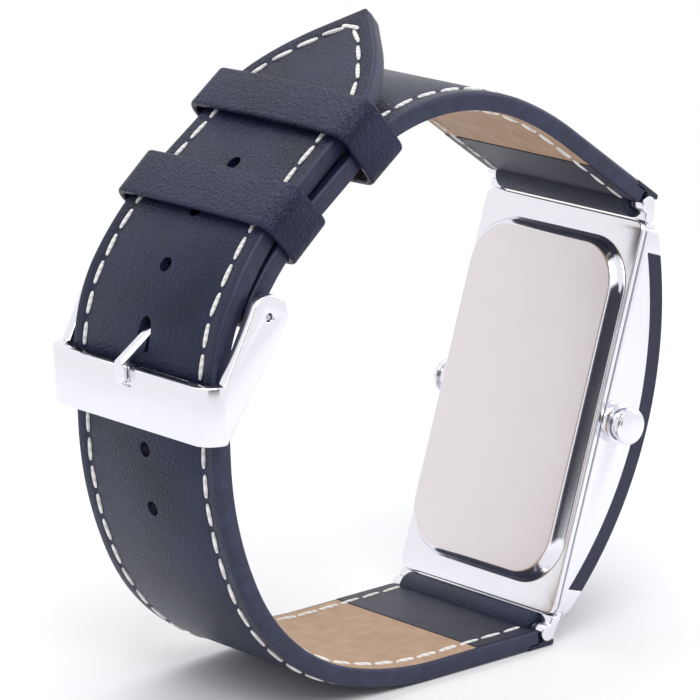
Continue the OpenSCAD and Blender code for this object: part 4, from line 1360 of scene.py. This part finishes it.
@dataclass
class PushButton:
    """A push button with its stem, and the collar that it sinks into."""

    side: Side
    axis: float = 3.0
    wall: float = 13.9
    wall_in: float = 12.3
    stem: float = 0.6
    stem_end: float = 11.55
    cap_y: float = 16.0
    cap: float = 2.2
    cap_height: float = 1.1
    neck: float = 1.85
    neck_in: float = 1.05
    collar: float = 2.35
    collar_height: float = 1.2
    tube: float = 1.3
    well: float = 14.15

    def head(self) -> bmesh.types.BMesh:
        """The domed cap with its neck and stem.

        Returns:
            The mesh.
        """
        y, top, r = self.cap_y, self.cap_y + self.cap_height, self.cap
        dome = [(top - 0.12 - 0.28 * (1 - math.cos(a)), r * math.sin(a) * 0.86) for a in
                (math.radians(t) for t in (0, 12, 24, 36, 48, 60, 72, 84))]
        shoulder = [(top - 0.62, r), (top - 0.50, r - 0.03), (top - 0.42, r - 0.13), (top - 0.39, r - 0.24)]
        profile = [
            (self.stem_end, 0.0),
            (self.stem_end, self.stem - 0.1),
            (self.stem_end + 0.1, self.stem),
            (y, self.stem),
            (y, self.neck_in),
            (y - 0.95, self.neck_in),
            (y - 0.95, self.neck),
            (y, self.neck),
            (y, r - 0.1),
            (y + 0.1, r),
            *shoulder,
            *reversed(dome),
        ]
        return turned(profile, 48)

    def collar_ring(self) -> bmesh.types.BMesh:
        """The collar on the case wall, with its tube through the wall.

        Returns:
            The mesh.
        """
        top, r = self.wall + self.collar_height, self.collar
        well = self.neck + 0.06
        profile = [
            (self.wall_in, self.stem + 0.05),
            (self.wall_in, self.tube),
            (self.wall + 0.02, self.tube),
            (self.wall + 0.02, r),
            (top - 0.16, r),
            (top - 0.05, r - 0.05),
            (top, r - 0.15),
            (top, well + 0.08),
            (top - 0.08, well),
            (self.well, well),
            (self.well, self.stem + 0.05),
        ]
        return turned(profile, 48)

    def build(self, placed: Matrix) -> None:
        """Builds the button and its collar.

        Args:
            placed: the matrix to the row's frame.
        """
        n = self.side.name.lower()
        shift = Matrix.Translation((self.axis, 0, 0)) @ Matrix.Diagonal((1, self.side.value, 1, 1))
        for name, mesh, body, node, slot in (
            ("button_domed", self.head(), f"{n}_push_button", f"{n}_button", "polished_steel"),
            ("collar_turned", self.collar_ring(), "watch", f"{n}_button_tube", "satin_steel"),
        ):
            bmesh.ops.transform(mesh, matrix=shift, verts=mesh.verts)
            bmesh.ops.recalc_face_normals(mesh, faces=mesh.faces)
            Piece(f"{n}_{name}", mesh, (Finish.POLISHED,), body, slot, (node,), 30).make(placed)


@dataclass(frozen=True)
class CarriedOver:
    """The finishes of the nodes that keep the part's own shape."""

    finishes: dict[str, Finish] = field(default_factory=lambda: {
        "polished_steel": Finish.POLISHED,
        "satin_steel": Finish.TURNED,
        "dark_window": Finish.WINDOW,
        "gasket_rubber": Finish.RUBBER,
        "mask_black": Finish.MASK,
        "frame_plastic": Finish.HOLDER,
        "red_lamp": Finish.LAMP,
        "board_green": Finish.BOARD,
        "chip_black": Finish.CHIP,
        "crystal_can": Finish.CELL,
        "cell_can": Finish.CELL,
        "contact_brass": Finish.BRASS,
        "amber_film": Finish.FILM,
        "spring_steel": Finish.WIRE,
        "bar_steel": Finish.TURNED,
        "blue_black_leather": Finish.LEATHER,
        "tan_lining": Finish.LINING,
        "black_patch": Finish.PATCH,
    })

    def dress(self) -> None:
        """Gives each node the finish of its material slot."""
        for sub in frame["record"]["subparts"]:
            node = frame["nodes"][sub["node"]]
            finish = self.finishes[sub["material_slot"]]
            for place in node.material_slots:
                place.material = finish.material()
        log.info("carried over: %d nodes dressed", len(frame["nodes"]))


# The studio


@dataclass
class Studio:
    """A pale floor that runs to white, soft lamps, and the camera at the photograph's angle."""

    camera_at: tuple[float, float, float] = (-0.340764, -0.400413, 0.174059)
    right: tuple[float, float, float] = (0.766287, -0.642031, -0.024503)
    down: tuple[float, float, float] = (-0.181444, -0.179660, -0.966851)
    forward: tuple[float, float, float] = (0.616346, 0.745331, -0.254164)
    lens: float = 236.7
    aim: tuple[float, float, float] = (-0.004, 0.0, 0.038)
    floor_size: float = 3.0
    flag_at: tuple[float, float, float] = (-0.36, -0.72, 0.22)
    flag_size: tuple[float, float] = (0.8, 0.44)
    flag_turn: float = -20.0
    floor_colour: str = "#fafafb"
    fade: tuple[float, float] = (0.06, 0.26)

    def camera(self) -> None:
        """Sets up the camera."""
        data = bpy.data.cameras.new("studio_camera")
        data.lens, data.sensor_width = self.lens, 36.0
        data.clip_start, data.clip_end = 0.02, 20.0
        made = bpy.data.objects.new("studio_camera", data)
        axes = (Vector(self.right), -Vector(self.down), -Vector(self.forward))
        place = Matrix(axes).transposed().to_4x4()
        place.translation = self.camera_at
        made.matrix_world = place
        bpy.context.scene.collection.objects.link(made)
        bpy.context.scene.camera = made

    def lamp(self, name: str, at: tuple[float, float, float], size: tuple[float, float],
             watts: float) -> None:
        """Adds a soft rectangular lamp that faces the watch.

        Args:
            name: the lamp's name.
            at: its place.
            size: its width and height.
            watts: its power.
        """
        data = bpy.data.lights.new(name, "AREA")
        data.shape, data.size, data.size_y, data.energy = "RECTANGLE", *size, watts
        made = bpy.data.objects.new(name, data)
        made.location = at
        made.rotation_euler = (Vector(self.aim) - Vector(at)).to_track_quat("-Z", "Y").to_euler()
        bpy.context.scene.collection.objects.link(made)

    def floor(self) -> None:
        """Lays the floor, which looks white itself and keeps the watch's shadow."""
        mesh = bmesh.new()
        bmesh.ops.create_grid(mesh, x_segments=2, y_segments=2, size=self.floor_size / 2)
        made = link("floor", mesh)
        material, tree, place = start("paper_matt_coated")
        # coated paper: matt, with a faint uneven tone
        tone = add(tree, "ShaderNodeTexNoise", {"Vector": place, "Scale": per(60), "Detail": 3})
        stops = ((0.3, self.floor_colour), (0.7, "#fcfcfc"))
        colour = add(tree, "ShaderNodeValToRGB", {"Fac": tone}, stops)
        paper = add(tree, "ShaderNodeBsdfPrincipled", {"Base Color": colour, "Roughness": 0.7})
        away = add(tree, "ShaderNodeVectorMath", {0: place, 1: self.aim}, operation="DISTANCE")
        reach = {"Value": away.outputs["Value"], "From Min": self.fade[0], "From Max": self.fade[1]}
        gone = add(tree, "ShaderNodeMapRange", reach, interpolation_type="SMOOTHSTEP")
        clear = add(tree, "ShaderNodeBsdfTransparent")
        end(tree, add(tree, "ShaderNodeMixShader", {0: gone, 1: paper, 2: clear}))
        made.data.materials.append(material)

    def flag(self) -> None:
        """Stands a dark card beside and behind the camera, for the metal's dark reflections."""
        mesh = bmesh.new()
        place = Matrix.Translation(self.flag_at) @ Matrix.Rotation(math.radians(self.flag_turn), 4, "Z")
        card = place @ Matrix.Rotation(math.pi / 2, 4, "X") @ Matrix.Diagonal((*self.flag_size, 1, 1))
        bmesh.ops.create_grid(mesh, x_segments=1, y_segments=1, size=0.5, matrix=card)
        made = link("flag", mesh)
        material, tree, _ = start("felt_black_dyed")
        # black felt: takes nearly all light
        felt = add(tree, "ShaderNodeBsdfPrincipled", {"Base Color": linear("#26222e"), "Roughness": 0.95})
        end(tree, felt)
        made.data.materials.append(material)

    def world(self) -> None:
        """Fills the room with light, and shows white where a camera or mirror ray leaves it."""
        world = bpy.data.worlds.new("studio_white")
        world.use_nodes = True
        bpy.context.scene.world = world
        tree = world.node_tree
        tree.nodes.clear()
        seen = add(tree, "ShaderNodeLightPath")
        fill = add(tree, "ShaderNodeBackground", {"Color": linear("#eef0f4"), "Strength": 0.75})
        white = add(tree, "ShaderNodeBackground", {"Color": (1, 1, 1, 1), "Strength": 1.0})
        rays = [seen.outputs[f"Is {kind} Ray"] for kind in ("Camera", "Glossy", "Transmission")]
        mirror = add(tree, "ShaderNodeMath", {0: rays[0], 1: rays[1]}, operation="MAXIMUM")
        through = add(tree, "ShaderNodeMath", {0: mirror, 1: rays[2]}, operation="MAXIMUM")
        mixed = add(tree, "ShaderNodeMixShader", {0: through, 1: fill, 2: white})
        add(tree, "ShaderNodeOutputWorld", {"Surface": mixed})

    def build(self) -> None:
        """Sets up camera, lamps, floor and world."""
        self.camera()
        self.lamp("key_softbox", (-0.30, -0.45, 0.70), (0.5, 0.5), 3.0)
        self.lamp("side_softbox", (0.60, -0.25, 0.35), (0.4, 0.5), 1.2)
        self.lamp("top_softbox", (0.05, 0.30, 0.70), (0.6, 0.4), 1.6)
        self.floor()
        self.flag()
        self.world()
        bpy.context.scene.view_settings.view_transform = "Standard"
        log.info("studio: camera, three lamps, floor and world")


def main() -> None:
    """Builds the watch, dresses what the part carries over, and sets up the studio."""
    logging.basicConfig(level=logging.INFO, format="%(message)s")
    plan = StrapPlan()
    placed = Stand(plan.lower_drop).matrix(plan.ground())
    CarriedOver().dress()
    for work in (
        Casework("case_back", "watch", "satin_steel", Finish.POLISHED, 0.18, -1.58),
        Casework("case_body", "watch", "polished_steel", Finish.POLISHED, 0.12),
        Casework("buckle_frame", "buckle", "polished_steel", Finish.POLISHED, 0.2),
        Casework("buckle_tongue", "tongue", "polished_steel", Finish.POLISHED, 0.25),
    ):
        work.build(placed)
    for side in Side:
        PushButton(side).build(placed)
    StrapHalf(plan, "short_strap", False).build(placed)
    StrapHalf(plan, "long_strap", True).build(placed)
    Keeper(plan, "fixed_keeper", "watch", 11.4, 6.2).build(placed)
    Keeper(plan, "sliding_keeper", "sliding_loop", 25.0, 5.8, 7.0, 2.0).build(placed)
    Studio().build()


if __name__ == "__main__":
    main()
